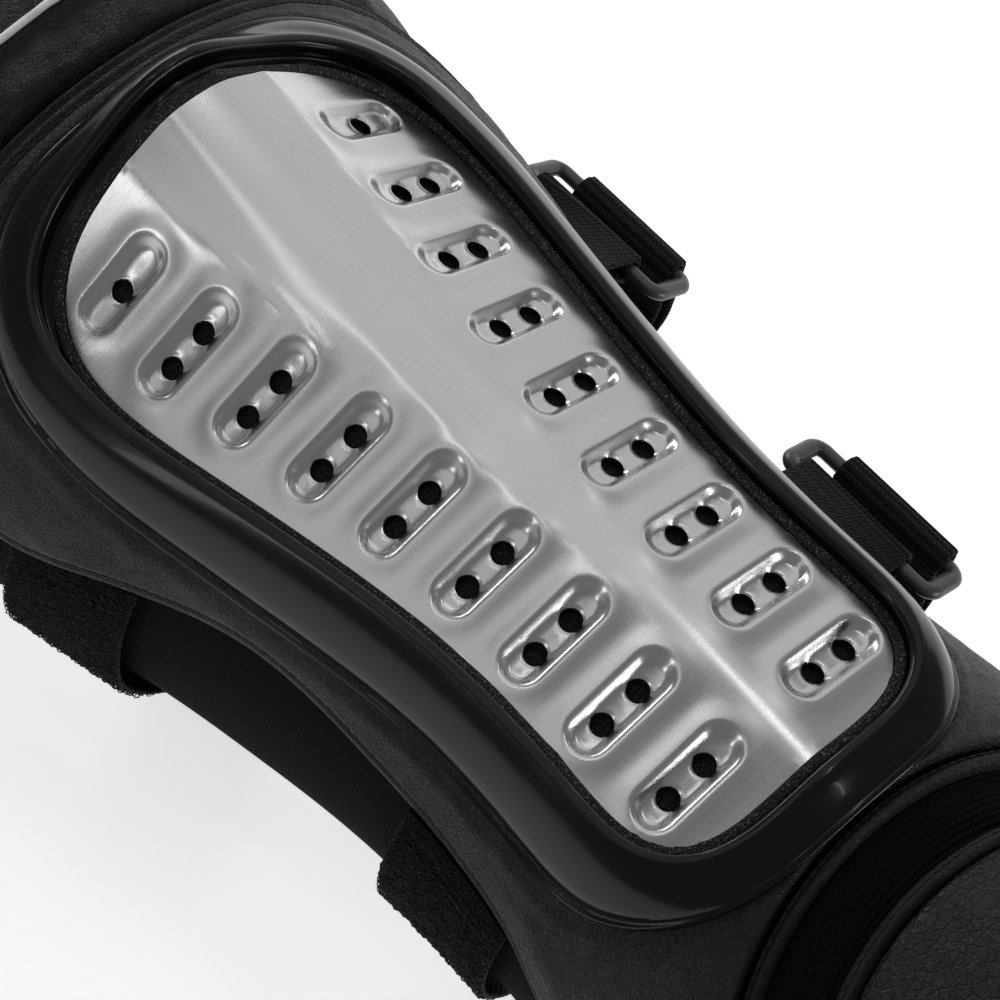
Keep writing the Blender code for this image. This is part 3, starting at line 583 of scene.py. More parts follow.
class Wire:
    """A node's output that takes part in Python arithmetic."""

    def __init__(self, nodes, socket):
        self.nodes, self.socket = nodes, socket

    def join(self, operation, *values):
        return self.nodes.add("ShaderNodeMath", {"operation": operation}, dict(enumerate(values)))

    def __add__(self, other):
        return self.join("ADD", self, other)

    def __sub__(self, other):
        return self.join("SUBTRACT", self, other)

    def __rsub__(self, other):
        return self.join("SUBTRACT", other, self)

    def __mul__(self, other):
        return self.join("MULTIPLY", self, other)

    def __truediv__(self, other):
        return self.join("DIVIDE", self, other)

    def __rtruediv__(self, other):
        return self.join("DIVIDE", other, self)

    def __pow__(self, other):
        return self.join("POWER", self, other)

    def __abs__(self):
        return self.join("ABSOLUTE", self)

    __radd__, __rmul__ = __add__, __mul__

    def sine(self):
        return self.join("SINE", self)

    def step(self, low, high):
        """Smooth step from 0 at low to 1 at high."""
        return self.nodes.add("ShaderNodeMapRange", {"interpolation_type": "SMOOTHSTEP"},
                              {"Value": self, "From Min": low, "From Max": high})


class Nodes:
    """A node tree and what adds to it."""

    def link(self, value, socket):
        if isinstance(value, Wire):
            self.tree.links.new(value.socket, socket)
        else:
            socket.default_value = value

    def add(self, kind, settings=None, sockets=None, out=0):
        """New node of a type with its settings, then the values or links of its sockets."""
        node = self.tree.nodes.new(kind)
        for name, value in (settings or {}).items():
            setattr(node, name, value)
        for name, value in (sockets or {}).items():
            self.link(value, node.inputs[name])
        return Wire(self, node.outputs[out])


class Look(Nodes):
    """A material on one Principled shader."""

    def __init__(self, name, roughness, metallic=0.0, **constants):
        self.material = bpy.data.materials.new(name)
        self.material.use_nodes = True
        self.tree = self.material.node_tree
        self.shader = self.tree.nodes["Principled BSDF"]
        self.feed("Roughness", roughness)
        self.feed("Metallic", metallic)
        for socket, value in constants.items():
            self.feed(socket.replace("_", " "), value)

    def feed(self, socket, value):
        self.link(value, self.shader.inputs[socket])

    def place(self, stretch=(1.0, 1.0, 1.0)):
        """Object coordinates, stretched along each axis."""
        where = self.add("ShaderNodeTexCoord", out="Object")
        return self.add("ShaderNodeMapping", sockets={"Vector": where, "Scale": stretch})

    def cloth(self):
        """Two distances over the piece, in metres, from its own UV map."""
        split = self.add("ShaderNodeSeparateXYZ",
                         sockets={0: self.add("ShaderNodeUVMap", {"uv_map": "Cloth"})})
        return split, Wire(self, split.socket.node.outputs[1])

    def noise(self, scale, detail=3.0, roughness=0.55, stretch=(1.0, 1.0, 1.0)):
        where = self.place(stretch)
        return self.add("ShaderNodeTexNoise", sockets={"Vector": where, "Scale": scale,
                                                       "Detail": detail, "Roughness": roughness})

    def cells(self, where, scale, feature="F1"):
        return self.add("ShaderNodeTexVoronoi", {"feature": feature},
                        {"Vector": where, "Scale": scale})

    def tint(self, colour, other, mask):
        return self.add("ShaderNodeMix", {"data_type": "RGBA"},
                        {0: mask, 6: (*colour, 1.0), 7: (*other, 1.0)}, out=2)

    def colour(self, base, dark, light, mask):
        """Base colour between two shades of one colour."""
        self.feed("Base Color", self.tint(shade(base, dark), shade(base, light), mask))

    def bump(self, height, distance):
        self.feed("Normal", self.add("ShaderNodeBump", sockets={
            "Height": height, "Distance": distance, "Strength": 1.0}))
        return self.material


def shade(colour, factor):
    return tuple(channel * factor for channel in colour)


def steel_look(colours):
    look = Look("brushed_steel", 0.2, 1.0, Anisotropic=0.2)
    hair = look.noise(1.0, 2.0, stretch=(60.0, 4200.0, 60.0))
    patch = look.noise(28.0, 2.0)
    scuff = look.noise(1.0, 4.0, 0.7, (260.0, 1500.0, 260.0)).step(0.66, 0.80)
    tone = hair * 0.55 + patch * 0.45
    look.colour(colours.steel, 0.86, 1.10, tone)
    look.feed("Roughness", 0.19 + patch * 0.06 + hair * 0.08 + scuff * 0.10)
    return look.bump(hair * 0.8 + scuff * 0.2, 0.000006)


def gloss_look(colours):
    look = Look("gloss_moulding", 0.18, Coat_Roughness=0.05, Specular_IOR_Level=0.2)
    haze = look.noise(90.0, 4.0)
    scratch = look.noise(1.0, 3.0, 0.7, (900.0, 60.0, 400.0)).step(0.64, 0.75)
    look.colour(colours.frame, 1.0, 2.2, scratch)
    look.feed("Roughness", 0.15 + haze * 0.09 + scratch * 0.12)
    look.feed("Coat Weight", 0.12 - scratch * 0.1)
    return look.bump(look.noise(420.0, 2.0), 0.00002)


def foam_look(colours):
    look = Look("speckled_foam", 0.9)
    speck = look.cells(look.place(), 1500.0)
    fleck = look.noise(1900.0, 2.0).step(0.56, 0.66)
    look.feed("Base Color", look.tint(colours.fabric, (0.16, 0.16, 0.165), fleck))
    return look.bump(speck + fleck * 0.4, 0.0005)


def leather_look(name, colours, grain, gloss, wrinkle):
    """Coated leather: cells of grain, finer pores and long soft wrinkles."""
    look = Look(name, gloss, Specular_IOR_Level=0.34)
    where = look.place()
    drift = look.noise(160.0, 2.0)
    bent = look.add("ShaderNodeVectorMath", {"operation": "MULTIPLY_ADD"},
                    {0: look.add("ShaderNodeTexNoise", sockets={"Vector": where, "Scale": 240.0},
                                 out="Color"), 1: (0.0016,) * 3, 2: where})
    valley = look.cells(bent, grain, "DISTANCE_TO_EDGE").step(0.0, 0.16)
    fine = look.cells(bent, grain * 2.7, "DISTANCE_TO_EDGE").step(0.0, 0.20)
    pore = look.noise(3200.0, 2.0)
    fold = look.noise(1.0, 5.0, 0.6, (60.0, 120.0, 60.0))
    worn = look.noise(34.0, 3.0).step(0.45, 0.75)
    look.colour(colours.leather, 0.72, 1.5, valley * 0.55 + worn * 0.45)
    look.feed("Roughness", gloss + 0.16 * (1 - valley) + 0.07 * drift - 0.08 * worn)
    return look.bump(valley * 0.5 + fine * 0.22 + pore * 0.12 + fold * wrinkle, 0.00040)


def knit_look(name, colours, stitch):
    """Stretch knit: columns of small loops on the piece's own UV map."""
    look = Look(name, 0.88, Specular_IOR_Level=0.1)
    across, along = look.cloth()
    turn = 2 * math.pi / stitch
    slant = along + look.noise(90.0, 2.0) * 0.0006
    loops = abs((across * turn).sine()) * 0.6 + (slant * (turn * 1.4)
                                                + (across * turn).sine() * 1.2).sine() * 0.4
    lint = look.noise(1700.0, 3.0)
    look.colour(colours.fabric, 0.55, 1.9, (loops * 0.7 + lint * 0.5).step(0.1, 1.0))
    look.feed("Roughness", 0.82 + lint * 0.14)
    return look.bump(loops * 0.8 + lint * 0.35, 0.00030)


def webbing_look(colours):
    """Woven webbing: yarns along and across, with a slanting twill."""
    look = Look("ribbed_webbing", 0.8, Sheen_Weight=0.05, Sheen_Roughness=0.4,
                Specular_IOR_Level=0.15)
    across, along = look.cloth()
    yarn = (across * (2 * math.pi / 0.0011)).sine() * (along * (math.pi / 0.0018)).sine()
    twill = ((across + along) * (2 * math.pi / 0.0016)).sine()
    lint = look.noise(1500.0, 3.0)
    look.colour(colours.webbing, 0.6, 2.3,
                (lint * 0.6 + twill * 0.12 + yarn * 0.15).step(0.15, 0.85))
    look.feed("Roughness", 0.72 + lint * 0.2)
    return look.bump(yarn * 0.25 + twill * 0.2 + lint * 0.25, 0.0005)


def moulded_look(colours):
    look = Look("satin_plastic", 0.34)
    flow = look.noise(240.0, 3.0)
    look.colour(colours.ring, 0.8, 1.3, flow)
    look.feed("Roughness", 0.28 + flow * 0.14)
    return look.bump(flow, 0.00005)


def thread_look(name, colour):
    look = Look(name, 0.6, Sheen_Weight=0.05, Specular_IOR_Level=0.3)
    twist = look.noise(2400.0, 2.0)
    look.colour(colour, 0.7, 1.4, twist)
    return look.bump(twist, 0.0001)


def stripe_look(colours):
    look = Look("stripe_piping", 0.55)
    soil = look.noise(140.0, 4.0).step(0.35, 0.8)
    look.colour(colours.stripe, 1.0, 0.72, soil)
    return look.bump(look.noise(1300.0, 2.0), 0.0001)


# Mesh building

def shape(name, data, look, smooth=40.0):
    bmesh.ops.recalc_face_normals(data, faces=data.faces)
    mesh = bpy.data.meshes.new(name)
    data.to_mesh(mesh)
    data.free()
    mesh.materials.append(look)
    mesh.shade_smooth()
    mesh.set_sharp_from_angle(angle=math.radians(smooth))
    thing = bpy.data.objects.new(name, mesh)
    bpy.context.scene.collection.objects.link(thing)
    return thing


def settle(thing, slot, *nodes, fill=None):
    """Fix a finished piece to the guard in place of its solids."""
    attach(thing, "root")
    if nodes:
        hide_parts(*nodes)
    return thing


def spread(count):
    """Shares from 0 to 1 that lie closer together towards both ends."""
    return [0.5 - 0.5 * math.cos(math.pi * k / count) for k in range(count + 1)]


def mirrored(count):
    """Shares from -1 to 1 that lie closer together towards both ends."""
    return [2 * share - 1 for share in spread(count)]


def roll(distance, radius, low):
    """Height of a rounded border, from low at the edge to 1 at a radius from it."""
    share = 1 - min(1.0, max(0.0, distance) / radius)
    return mix(low, 1.0, math.sqrt(1 - share * share))


def bell(distance, width):
    return math.exp(-(distance / width) ** 2)


def ruffle(point, size, octaves=3):
    return noise.fractal(point / size, 0.8, 2.0, octaves)


def quilt(name, rows, look, smooth=40.0):
    """Closed soft solid from rows of (outer point, inner point, distance across, along)."""
    data = bmesh.new()
    cloth = data.loops.layers.uv.new("Cloth")
    many, wide = len(rows), len(rows[0])
    skins = [[[data.verts.new(placed(cell[side])) for cell in row] for row in rows]
             for side in (0, 1)]
    place = {}
    for side in (0, 1):
        for i in range(many):
            for j in range(wide):
                place[skins[side][i][j]] = rows[i][j][2:4]
        for i in range(many - 1):
            for j in range(wide - 1):
                data.faces.new((skins[side][i][j], skins[side][i + 1][j],
                                skins[side][i + 1][j + 1], skins[side][i][j + 1]))
    rim = ([(0, j) for j in range(wide)] + [(i, wide - 1) for i in range(1, many)]
           + [(many - 1, j) for j in range(wide - 2, -1, -1)]
           + [(i, 0) for i in range(many - 2, 0, -1)])
    for k, (i, j) in enumerate(rim):
        m, n = rim[(k + 1) % len(rim)]
        data.faces.new((skins[0][i][j], skins[0][m][n], skins[1][m][n], skins[1][i][j]))
    for face in data.faces:
        for loop in face.loops:
            loop[cloth].uv = place[loop.vert]
    return shape(name, data, look, smooth)


def ring_of(name, loops, look, closed=True, smooth=40.0):
    """Sweep through loops of points, closed into a hoop, or capped at both ends."""
    data = bmesh.new()
    cloth = data.loops.layers.uv.new("Cloth")
    verts = [[data.verts.new(placed(point)) for point in loop] for loop in loops]
    many, round_ = len(loops), len(loops[0])
    along = reaches([loop[0] for loop in loops + loops[:1]])
    around = reaches(loops[0] + loops[0][:1])
    for i in range(many if closed else many - 1):
        for j in range(round_):
            m, n = (i + 1) % many, (j + 1) % round_
            face = data.faces.new((verts[i][j], verts[i][n], verts[m][n], verts[m][j]))
            corners = ((around[j], along[i]), (around[j + 1], along[i]),
                       (around[j + 1], along[i + 1]), (around[j], along[i + 1]))
            for loop, uv in zip(face.loops, corners):
                loop[cloth].uv = uv
    if not closed:
        for loop in (verts[0], verts[-1]):
            data.faces.new(loop)
    return shape(name, data, look, smooth)


def curve_through(points, parts):
    """Smooth path through points, in so many parts for each gap."""
    rows = [2 * points[0] - points[1]] + points + [2 * points[-1] - points[-2]]
    path = []
    for i in range(1, len(rows) - 2):
        path += [spline(*rows[i - 1:i + 3], k / parts) for k in range(parts)]
    path.append(points[-1].copy())
    return path


# Node trees that make what repeats

class Maker(Nodes):
    """A Geometry Nodes tree with sizes and a material as its named inputs."""

    def __init__(self, name, *sizes):
        self.tree = bpy.data.node_groups.new(name, "GeometryNodeTree")
        face = self.tree.interface
        for way in ("INPUT", "OUTPUT"):
            face.new_socket("Geometry", in_out=way, socket_type="NodeSocketGeometry")
        for label in sizes:
            face.new_socket(label, in_out="INPUT", socket_type="NodeSocketFloat")
        face.new_socket("Material", in_out="INPUT", socket_type="NodeSocketMaterial")
        self.start = self.tree.nodes.new("NodeGroupInput")

    def given(self, label):
        return Wire(self, self.start.outputs[label])

    def attribute(self, name, kind="FLOAT_VECTOR"):
        return self.add("GeometryNodeInputNamedAttribute", {"data_type": kind}, {"Name": name})

    def scatter(self, thing, scale):
        """Copies of a thing on the points, each turned to its point's own direction."""
        turn = self.add("FunctionNodeAlignRotationToVector", {"axis": "Z"},
                        {"Vector": self.attribute("run")})
        return self.add("GeometryNodeInstanceOnPoints",
                        sockets={"Points": self.given("Geometry"), "Instance": thing,
                                 "Rotation": turn, "Scale": scale})

    def close(self, made):
        real = self.add("GeometryNodeRealizeInstances", sockets={0: made})
        done = self.add("GeometryNodeSetMaterial",
                        sockets={0: real, "Material": self.given("Material")})
        self.link(done, self.tree.nodes.new("NodeGroupOutput").inputs[0])
        return self.tree


def stitch_tree():
    """A short rounded thread on each point, lying along its own direction."""
    maker = Maker("stitches", "Stitch Length", "Thread Thickness")
    ball = maker.add("GeometryNodeMeshUVSphere",
                     sockets={"Segments": 6, "Rings": 5, "Radius": 0.5})
    thick = maker.given("Thread Thickness")
    size = maker.add("ShaderNodeCombineXYZ",
                     sockets={0: thick, 1: thick, 2: maker.given("Stitch Length")})
    return maker.close(maker.scatter(ball, size))


def pile_tree():
    """A small upright loop of yarn on each point, across its own direction."""
    maker = Maker("looped_pile", "Loop Size", "Yarn Thickness")
    turn, yarn = (maker.add("GeometryNodeCurvePrimitiveCircle",
                            sockets={"Resolution": steps, "Radius": radius})
                  for steps, radius in ((7, 1.0), (3, maker.given("Yarn Thickness")
                                                   / maker.given("Loop Size"))))
    loop = maker.add("GeometryNodeCurveToMesh", sockets={"Curve": turn, "Profile Curve": yarn})
    vary = maker.add("FunctionNodeRandomValue", {"data_type": "FLOAT"},
                     {2: 0.7, 3: 1.25, "Seed": 7}, out=1)
    return maker.close(maker.scatter(loop, maker.given("Loop Size") * vary))


def rib_tree():
    """Woven ribs: the faces rise and fall along the piece's own length."""
    maker = Maker("woven_ribs", "Rib Pitch", "Rib Depth")
    turn = maker.attribute("along", "FLOAT") / maker.given("Rib Pitch") * math.pi
    push = maker.add("ShaderNodeVectorMath", {"operation": "SCALE"},
                     {0: maker.attribute("lift"),
                      "Scale": abs(turn.sine()) * maker.given("Rib Depth")})
    moved = maker.add("GeometryNodeSetPosition",
                      sockets={"Geometry": maker.given("Geometry"), "Offset": push})
    return maker.close(moved)


def grown(thing, tree, look, **sizes):
    """Run a node tree on a piece and keep the result as its plain mesh."""
    way = thing.modifiers.new(tree.name, "NODES")
    way.node_group = tree
    given = dict(sizes, material=look)
    for item in tree.interface.items_tree:
        label = item.name.replace(" ", "_").lower()
        if label in given:
            way[item.identifier] = given[label]
    done = thing.evaluated_get(bpy.context.evaluated_depsgraph_get())
    mesh = bpy.data.meshes.new_from_object(done)
    thing.modifiers.clear()
    thing.data = mesh
    mesh.shade_smooth()
    return thing


def stitched(name, rows, look, sizes):
    """Rows of thread: each row is a path of points on the surface it holds."""
    spots, runs = [], []
    for path in rows:
        reach = reaches(path)
        count = max(1, round(reach[-1] / sizes.stitch_pitch))
        j = 0
        for k in range(count):
            goal = reach[-1] * (k + 0.5) / count
            while j < len(reach) - 2 and reach[j + 1] < goal:
                j += 1
            share = (goal - reach[j]) / max(1e-9, reach[j + 1] - reach[j])
            spots.append(placed(path[j].lerp(path[j + 1], share)))
            runs.append((path[j + 1] - path[j]).normalized())
    return grown(dotted(name, spots, runs), stitch_tree(), look,
                 stitch_length=sizes.stitch_length, thread_thickness=sizes.thread_thickness)


def dotted(name, spots, runs):
    """Loose points that each carry a direction."""
    mesh = bpy.data.meshes.new(name)
    mesh.from_pydata([tuple(spot) for spot in spots], [], [])
    run = mesh.attributes.new("run", "FLOAT_VECTOR", "POINT")
    run.data.foreach_set("vector", [value for line in runs for value in line])
    thing = bpy.data.objects.new(name, mesh)
    bpy.context.scene.collection.objects.link(thing)
    return thing


# Steel plate, gasket and frame

def crease_height(x, y):
    """Height of the plate before its slots are pressed, with soft creases."""
    tilt, cross, bow = facet(y)
    band, far = ridge_half_width(y), abs(x)
    fade = ease((FOLD_END + FOLD_PAST - y) / FOLD_FADE)
    soft_width = mix(FOLD_SOFT_KNEE, FOLD_SOFT_WIDE, fade)
    soft = 0.5 * (far + band + math.sqrt((far - band) ** 2 + soft_width ** 2))
    height = bow + (cross - soft) * math.tan(tilt)
    fold = mix(FOLD_WIDE, FOLD_KNEE, ease((y - PLATE_WIDE) / (FOLD_END - PLATE_WIDE)))
    rise = min(1.0, max(0.0, (far - band) / (fold - band)))
    fall = max(0.0, 1 - max(0.0, far - fold) / FOLD_FALL)
    plateau = FOLD_HEIGHT * rise * fall * fall
    return (height + fade * (plateau + FOLD_BEAD * bell(far - fold, FOLD_BEAD_WIDTH))
            + (1 - fade) * RIDGE_BEAD * bell(x, RIDGE_BEAD_WIDTH))


def slot_reach(p, slot):
    """Distance from the rim of a slot, below 0 inside it."""
    across, y, half_length, tilt, _ = slot
    along = (abs(p.x) - across) / math.cos(tilt)
    core = half_length - SLOT_WIDTH / 2
    along -= min(core, max(-core, along))
    return math.hypot(along, p.y - y) - SLOT_WIDTH / 2


def hole_places():
    places = []
    for across, y, _, tilt, row in slots():
        for gap in ((0.0,) if row == 0 else (HOLE_SPACING / 2, -HOLE_SPACING / 2)):
            for side in (1, -1):
                places.append((Vector((side * (across + gap * math.cos(tilt)), y)), tilt))
    return places


def slot_lines(outline):
    """Points of the finer rows in and round every slot."""
    points = []
    for across, y, half_length, tilt, _ in slots():
        for side in (1, -1):
            for grow in SLOT_LINES:
                steps = 14 if grow > -0.003 else 10
                loop = stadium((side * across, y), half_length + grow, SLOT_WIDTH / 2 + grow,
                               tilt, steps)
                for point, after in zip(loop, loop[1:] + loop[:1]):
                    parts = max(1, round((after - point).length / LINE_PITCH))
                    line = [point.lerp(after, n / parts) for n in range(parts)]
                    points += [p for p in line if inside(p, outline)]
    return points


def plate_plan(places):
    """Points and faces of the plate's plan, cut along its outline and its holes."""
    stations = whole_outline(OUTLINE_STEPS)
    outline = [here for here, _ in stations]
    points, holes = slot_lines(outline), []
    for centre, tilt in places:
        for share in HOLE_RINGS:
            radius = HOLE_DIAMETER / 2 * share
            turns = [2 * math.pi * (k + 0.5) / HOLE_STEPS for k in range(HOLE_STEPS)]
            ring = [centre + Vector((radius * math.cos(tilt) * math.cos(a), radius * math.sin(a)))
                    for a in turns]
            if share == 1.0:
                holes.append(ring)
            else:
                points += ring
    for i in range(int(PLATE_LENGTH / PLATE_GRID)):
        for j in range(-31, 32):
            p = Vector((j * PLATE_GRID, PLATE_WIDE + (i + 0.5) * PLATE_GRID))
            if abs(p.x) < plate_edge(p.y) - 0.0012 and all(
                    slot_reach(p, s) > 0.0028 or slot_reach(p, s) < -0.0044
                    for s in slots() if abs(s[1] - p.y) < 0.012):
                points.append(p)
    for share in EDGE_LINES:
        points += [here - out * EDGE_LINE * share for here, out in stations]
    edges = []
    for loop in [outline] + holes:
        start = len(points)
        points += loop
        edges += [(start + k, start + (k + 1) % len(loop)) for k in range(len(loop))]
    plan, _, faces, *_ = delaunay_2d_cdt(points, edges, [], 0, 1e-6)
    return plan, faces


def pressed_plate(look, sizes):
    """The steel sheet with its creases, rounded slots and punched holes."""
    places = hole_places()
    centres = near_tree([centre for centre, _ in places])
    plan, faces = plate_plan(places)
    heights = []
    for p in plan:
        reach = min(slot_reach(p, s) for s in slots() if abs(s[1] - p.y) < 0.03)
        swell = sizes.slot_bulge * bell(max(0.0, reach), SWELL_WIDTH)
        sunk = (SLOT_DEPTH + sizes.slot_bulge) * ease(-reach / SLOT_ROUND)
        far = centres.find((p.x, p.y, 0.0))[2]
        lip = HOLE_LIP * bell(far - HOLE_DIAMETER * 0.47, HOLE_LIP_WIDTH)
        heights.append(crease_height(p.x, p.y) + swell - sunk - lip)

    kept = []
    for face in faces:
        middle = sum((plan[v] for v in face), Vector((0.0, 0.0))) / len(face)
        centre, tilt = places[centres.find((middle.x, middle.y, 0.0))[1]]
        across = (middle.x - centre.x) / math.cos(tilt)
        if (math.hypot(across, middle.y - centre.y) >= HOLE_DIAMETER * 0.496
                and abs(middle.x) < plate_edge(middle.y) + 1e-5):
            kept.append(face)
    data = bmesh.new()
    wall = PLATE_WALL / math.cos(facet(0.0)[0])
    used = sorted({v for face in kept for v in face})
    above, below = ({v: data.verts.new(placed(over(plan[v], heights[v] - drop))) for v in used}
                    for drop in (0.0, wall))
    sides = set()
    for face in kept:
        data.faces.new([above[v] for v in face])
        data.faces.new([below[v] for v in reversed(face)])
        sides.update(zip(face, face[1:] + face[:1]))
    for one, two in sides:
        if (two, one) not in sides:
            data.faces.new((above[one], below[one], below[two], above[two]))
    return shape("pressed_shin_plate", data, look, 50.0)


def evened(values, passes):
    """Values round a closed outline, each drawn towards its neighbours."""
    for _ in range(passes):
        values = [(values[k - 1] + 2 * value + values[(k + 1) % len(values)]) / 4
                  for k, value in enumerate(values)]
    return values


def moulding(look):
    """Frame: seat under the plate, raised crest, long rounded flank and a thin foot."""
    loops = []
    stations = whole_outline(130)
    edges = evened([plate_height(here.x, here.y) for here, _ in stations], EDGE_PASSES)
    walls = evened([crest_wall(here.y) for here, _ in stations], EDGE_PASSES)
    for (here, out), edge, wall in zip(stations, edges, walls):
        lip = min(edge, plate_height(here.x, here.y))
        seat = lip - PLATE_WALL / math.cos(facet(here.y)[0]) - GAP
        reach = rim_reach(here.y)

        def on_pad(distance):
            spot = here + out * distance
            return pad_top(spot.x, spot.y) + FOOT_GAP

        foot, shoulder, crest = on_pad(reach), wall + CREST_WIDTH, edge + CREST_HEIGHT

        def flank(share, inwards):
            bulge = 0.16 * math.sin(math.pi * share)
            return (shoulder + (reach - shoulder) * (share + 0.35 * bulge) - inwards,
                    crest - CREST_HEIGHT * 0.2
                    + (foot + FOOT_HEIGHT - crest) * (share - bulge) - inwards * 0.5)

        section_points = [
            (reach - 0.0003, foot), (reach, foot + 0.0004), (reach, foot + FOOT_HEIGHT - 0.0003),
            (reach - 0.0006, foot + FOOT_HEIGHT), (reach - 0.0022, foot + FOOT_HEIGHT + 0.0003),
            flank(0.86, 0.0), flank(0.72, 0.0), flank(0.54, 0.0), flank(0.36, 0.0),
            flank(0.18, 0.0), (shoulder + 0.0002, crest - CREST_HEIGHT * 0.18),
            (shoulder - 0.0007, crest - CREST_HEIGHT * 0.03), (wall + CREST_WIDTH * 0.5, crest),
            (wall + CREST_WIDTH * 0.2, crest - CREST_HEIGHT * 0.05),
            (wall + 0.0001, crest - CREST_HEIGHT * 0.2), (wall, edge), (wall, seat + 0.0002),
            (wall - 0.0002, seat), (-SEAT_OVERLAP + 0.0002, seat), (-SEAT_OVERLAP, seat - 0.0003),
            (-SEAT_OVERLAP, seat - SEAT_WALL + 0.0003), (-SEAT_OVERLAP + 0.0003, seat - SEAT_WALL),
            (wall + FRAME_WALL * 0.7, seat - SEAT_WALL),
            (wall + FRAME_WALL, crest - FRAME_WALL * 1.2), flank(0.36, FRAME_WALL),
            (reach - FRAME_WALL, on_pad(reach - FRAME_WALL))]
        loops.append([over(here + out * far, height) for far, height in section_points])
    frame_piece = ring_of("frame_moulding", loops, look, smooth=60.0)
    fine = frame_piece.modifiers.new("smooth", "SUBSURF")
    fine.levels = fine.render_levels = 1
    return frame_piece


def gasket(look):
    """Foam strip between the plate and the crest, rough on top."""
    loops = []
    for here, out in whole_outline(300):
        seat = plate_height(here.x, here.y) - PLATE_WALL / math.cos(facet(here.y)[0]) + GAP
        loop = []
        for n in range(13):
            turn = math.pi * n / 12
            far = GAP + GASKET_WIDTH * (0.5 - 0.5 * math.cos(turn))
            up = seat + GASKET_HEIGHT * (0.62 + 0.38 * math.sin(turn) ** 0.5)
            point = over(here + out * far, up)
            point.z += 0.00022 * noise.noise(point * 1900.0) * math.sin(turn)
            loop.append(point)
        loop += [over(here + out * far, seat) for far in (GAP + GASKET_WIDTH, GAP)]
        loops.append(loop)
    return ring_of("foam_gasket", loops, look)


# Liner

def liner_point(share, y, side):
    """Point of the knit liner: puckered along its side edges, with a soft hem at its ends."""
    wing = lookup(SECTIONS, COLUMN["wing"], share_of_length(y))
    angle = wing * share
    rim = ease((abs(share) - 0.80) / 0.20)
    left = 1 if share > 0 else -1
    flare = FLARE * ease((abs(angle) - FLARE_START) / (FLARE_FULL - FLARE_START)) \
        * ease((FLARE_KNEE - y) / (FLARE_KNEE - FLARE_WIDE))
    pucker = (math.sin(y / 0.0021 + 2.2 * noise.noise(Vector((left * 3.0, y * 60.0, 0.0))))
              * 0.35 + noise.noise(Vector((left * 9.0, y * 95.0, abs(share) * 3.0))) * 1.5)
    slack = noise.noise(Vector((angle * 0.05, y * 26.0, 4.0))) * ease((abs(share) - 0.5) / 0.3)
    off = flare + 0.0010 * pucker * rim + 0.0006 * slack
    off += 0.0016 * flare / FLARE * noise.noise(Vector((left * 5.0, y * 42.0, angle * 0.02)))
    length_edge = min(y + WIDE_REACH, KNEE_REACH - y)
    angle += left * rim * 0.5 * noise.noise(Vector((y * 80.0, left * 2.0, 1.0)))
    side_edge = (1 - abs(share)) * LINER_ARC
    wall_share = roll(side_edge, 0.0022, 0.35) * roll(length_edge, 0.0022, 0.35)
    hem = 0.00045 * (bell(side_edge - 0.0045, 0.0022) + bell(length_edge - 0.005, 0.0024))
    groove = 0.0005 * (bell(side_edge - HEM_SEAM, 0.0007)
                       + bell(length_edge - HEM_END_SEAM, 0.0008))
    half = LINER_WALL / 2 * wall_share
    lift = half + hem - groove if side else -half
    return on_leg(angle, y, off - LINER_WALL / 2 + lift)


def knit_liner(look):
    places = [-WIDE_REACH + GUARD_LENGTH * v for v in spread(190)]
    rows = [[(liner_point(share, y, 1), liner_point(share, y, 0), share * LINER_ARC, y)
             for share in mirrored(110)] for y in places]
    return quilt("knit_liner", rows, look)


# Pads

@lru_cache(maxsize=None)
def outline_tree():
    stations = whole_outline(180)
    return near_tree([here for here, _ in stations]), stations


def plate_distance(x, y):
    """Distance in plan from the plate's edge, below 0 over the plate."""
    tree, stations = outline_tree()
    _, k, far = tree.find((x, y, 0.0))
    here, out = stations[k]
    return far if (Vector((x, y)) - here).dot(out) > 0 else -far


def pad_start(share):
    """Place along the shin where the pad meets the end panel, at a share of its half width."""
    y = 0.0
    for _ in range(10):
        y = panel_line(share * pad_side(y)) + SEAM_GAP
    return y


def pad_finish(share):
    """Place along the shin where the pad ends at the knee, at a share of its half width."""
    y = 0.0
    for _ in range(12):
        y = seam_line(share * pad_side(y), GUSSET_WIDTH + BINDING_WIDTH + SEAM_GAP)
    return y


def on_pad_top(angle, y, start, finish, lift=0.0):
    """Point on the pad's leather, or a little above it."""
    per_degree = math.radians(section(y)[0])
    side = (pad_side(y) - abs(angle)) * per_degree
    edge = min(side, y - start)
    spot = on_leg(angle, y, LAYER_GAP + pad_thickness(angle, y))
    past_foot = plate_distance(spot.x, spot.y) - rim_reach(y)
    thick = pad_thickness(angle, y) + 0.0008 * ease((edge - 0.001) / 0.004)
    thick += 0.0007 * bell(past_foot - 0.0016, 0.0016)
    thick += 0.0007 * bell(y - start - 0.0016, 0.0018) * ease((side - 0.004) / 0.006)
    thick -= 0.0007 * bell(edge - PAD_SEAM, 0.0007)
    thick -= 0.0007 * bell(y - start - RIM_SEAM, 0.0009) * ease((side - 0.004) / 0.006)
    thick += 0.00040 * ruffle(spot, 0.020) * ease((edge - 0.003) / 0.008)
    thick += 0.00012 * ruffle(spot, 0.005) * ease((edge - 0.004) / 0.004)
    pleat = noise.noise(Vector((angle * 0.35, y * 420.0, 2.0)))
    thick += 0.00018 * pleat * bell(edge - PAD_SEAM, 0.003)
    thick *= roll(edge, 0.0020, 0.30) * roll(finish - y, 0.0016, 0.45)
    return on_leg(angle, y, LAYER_GAP + thick + lift)


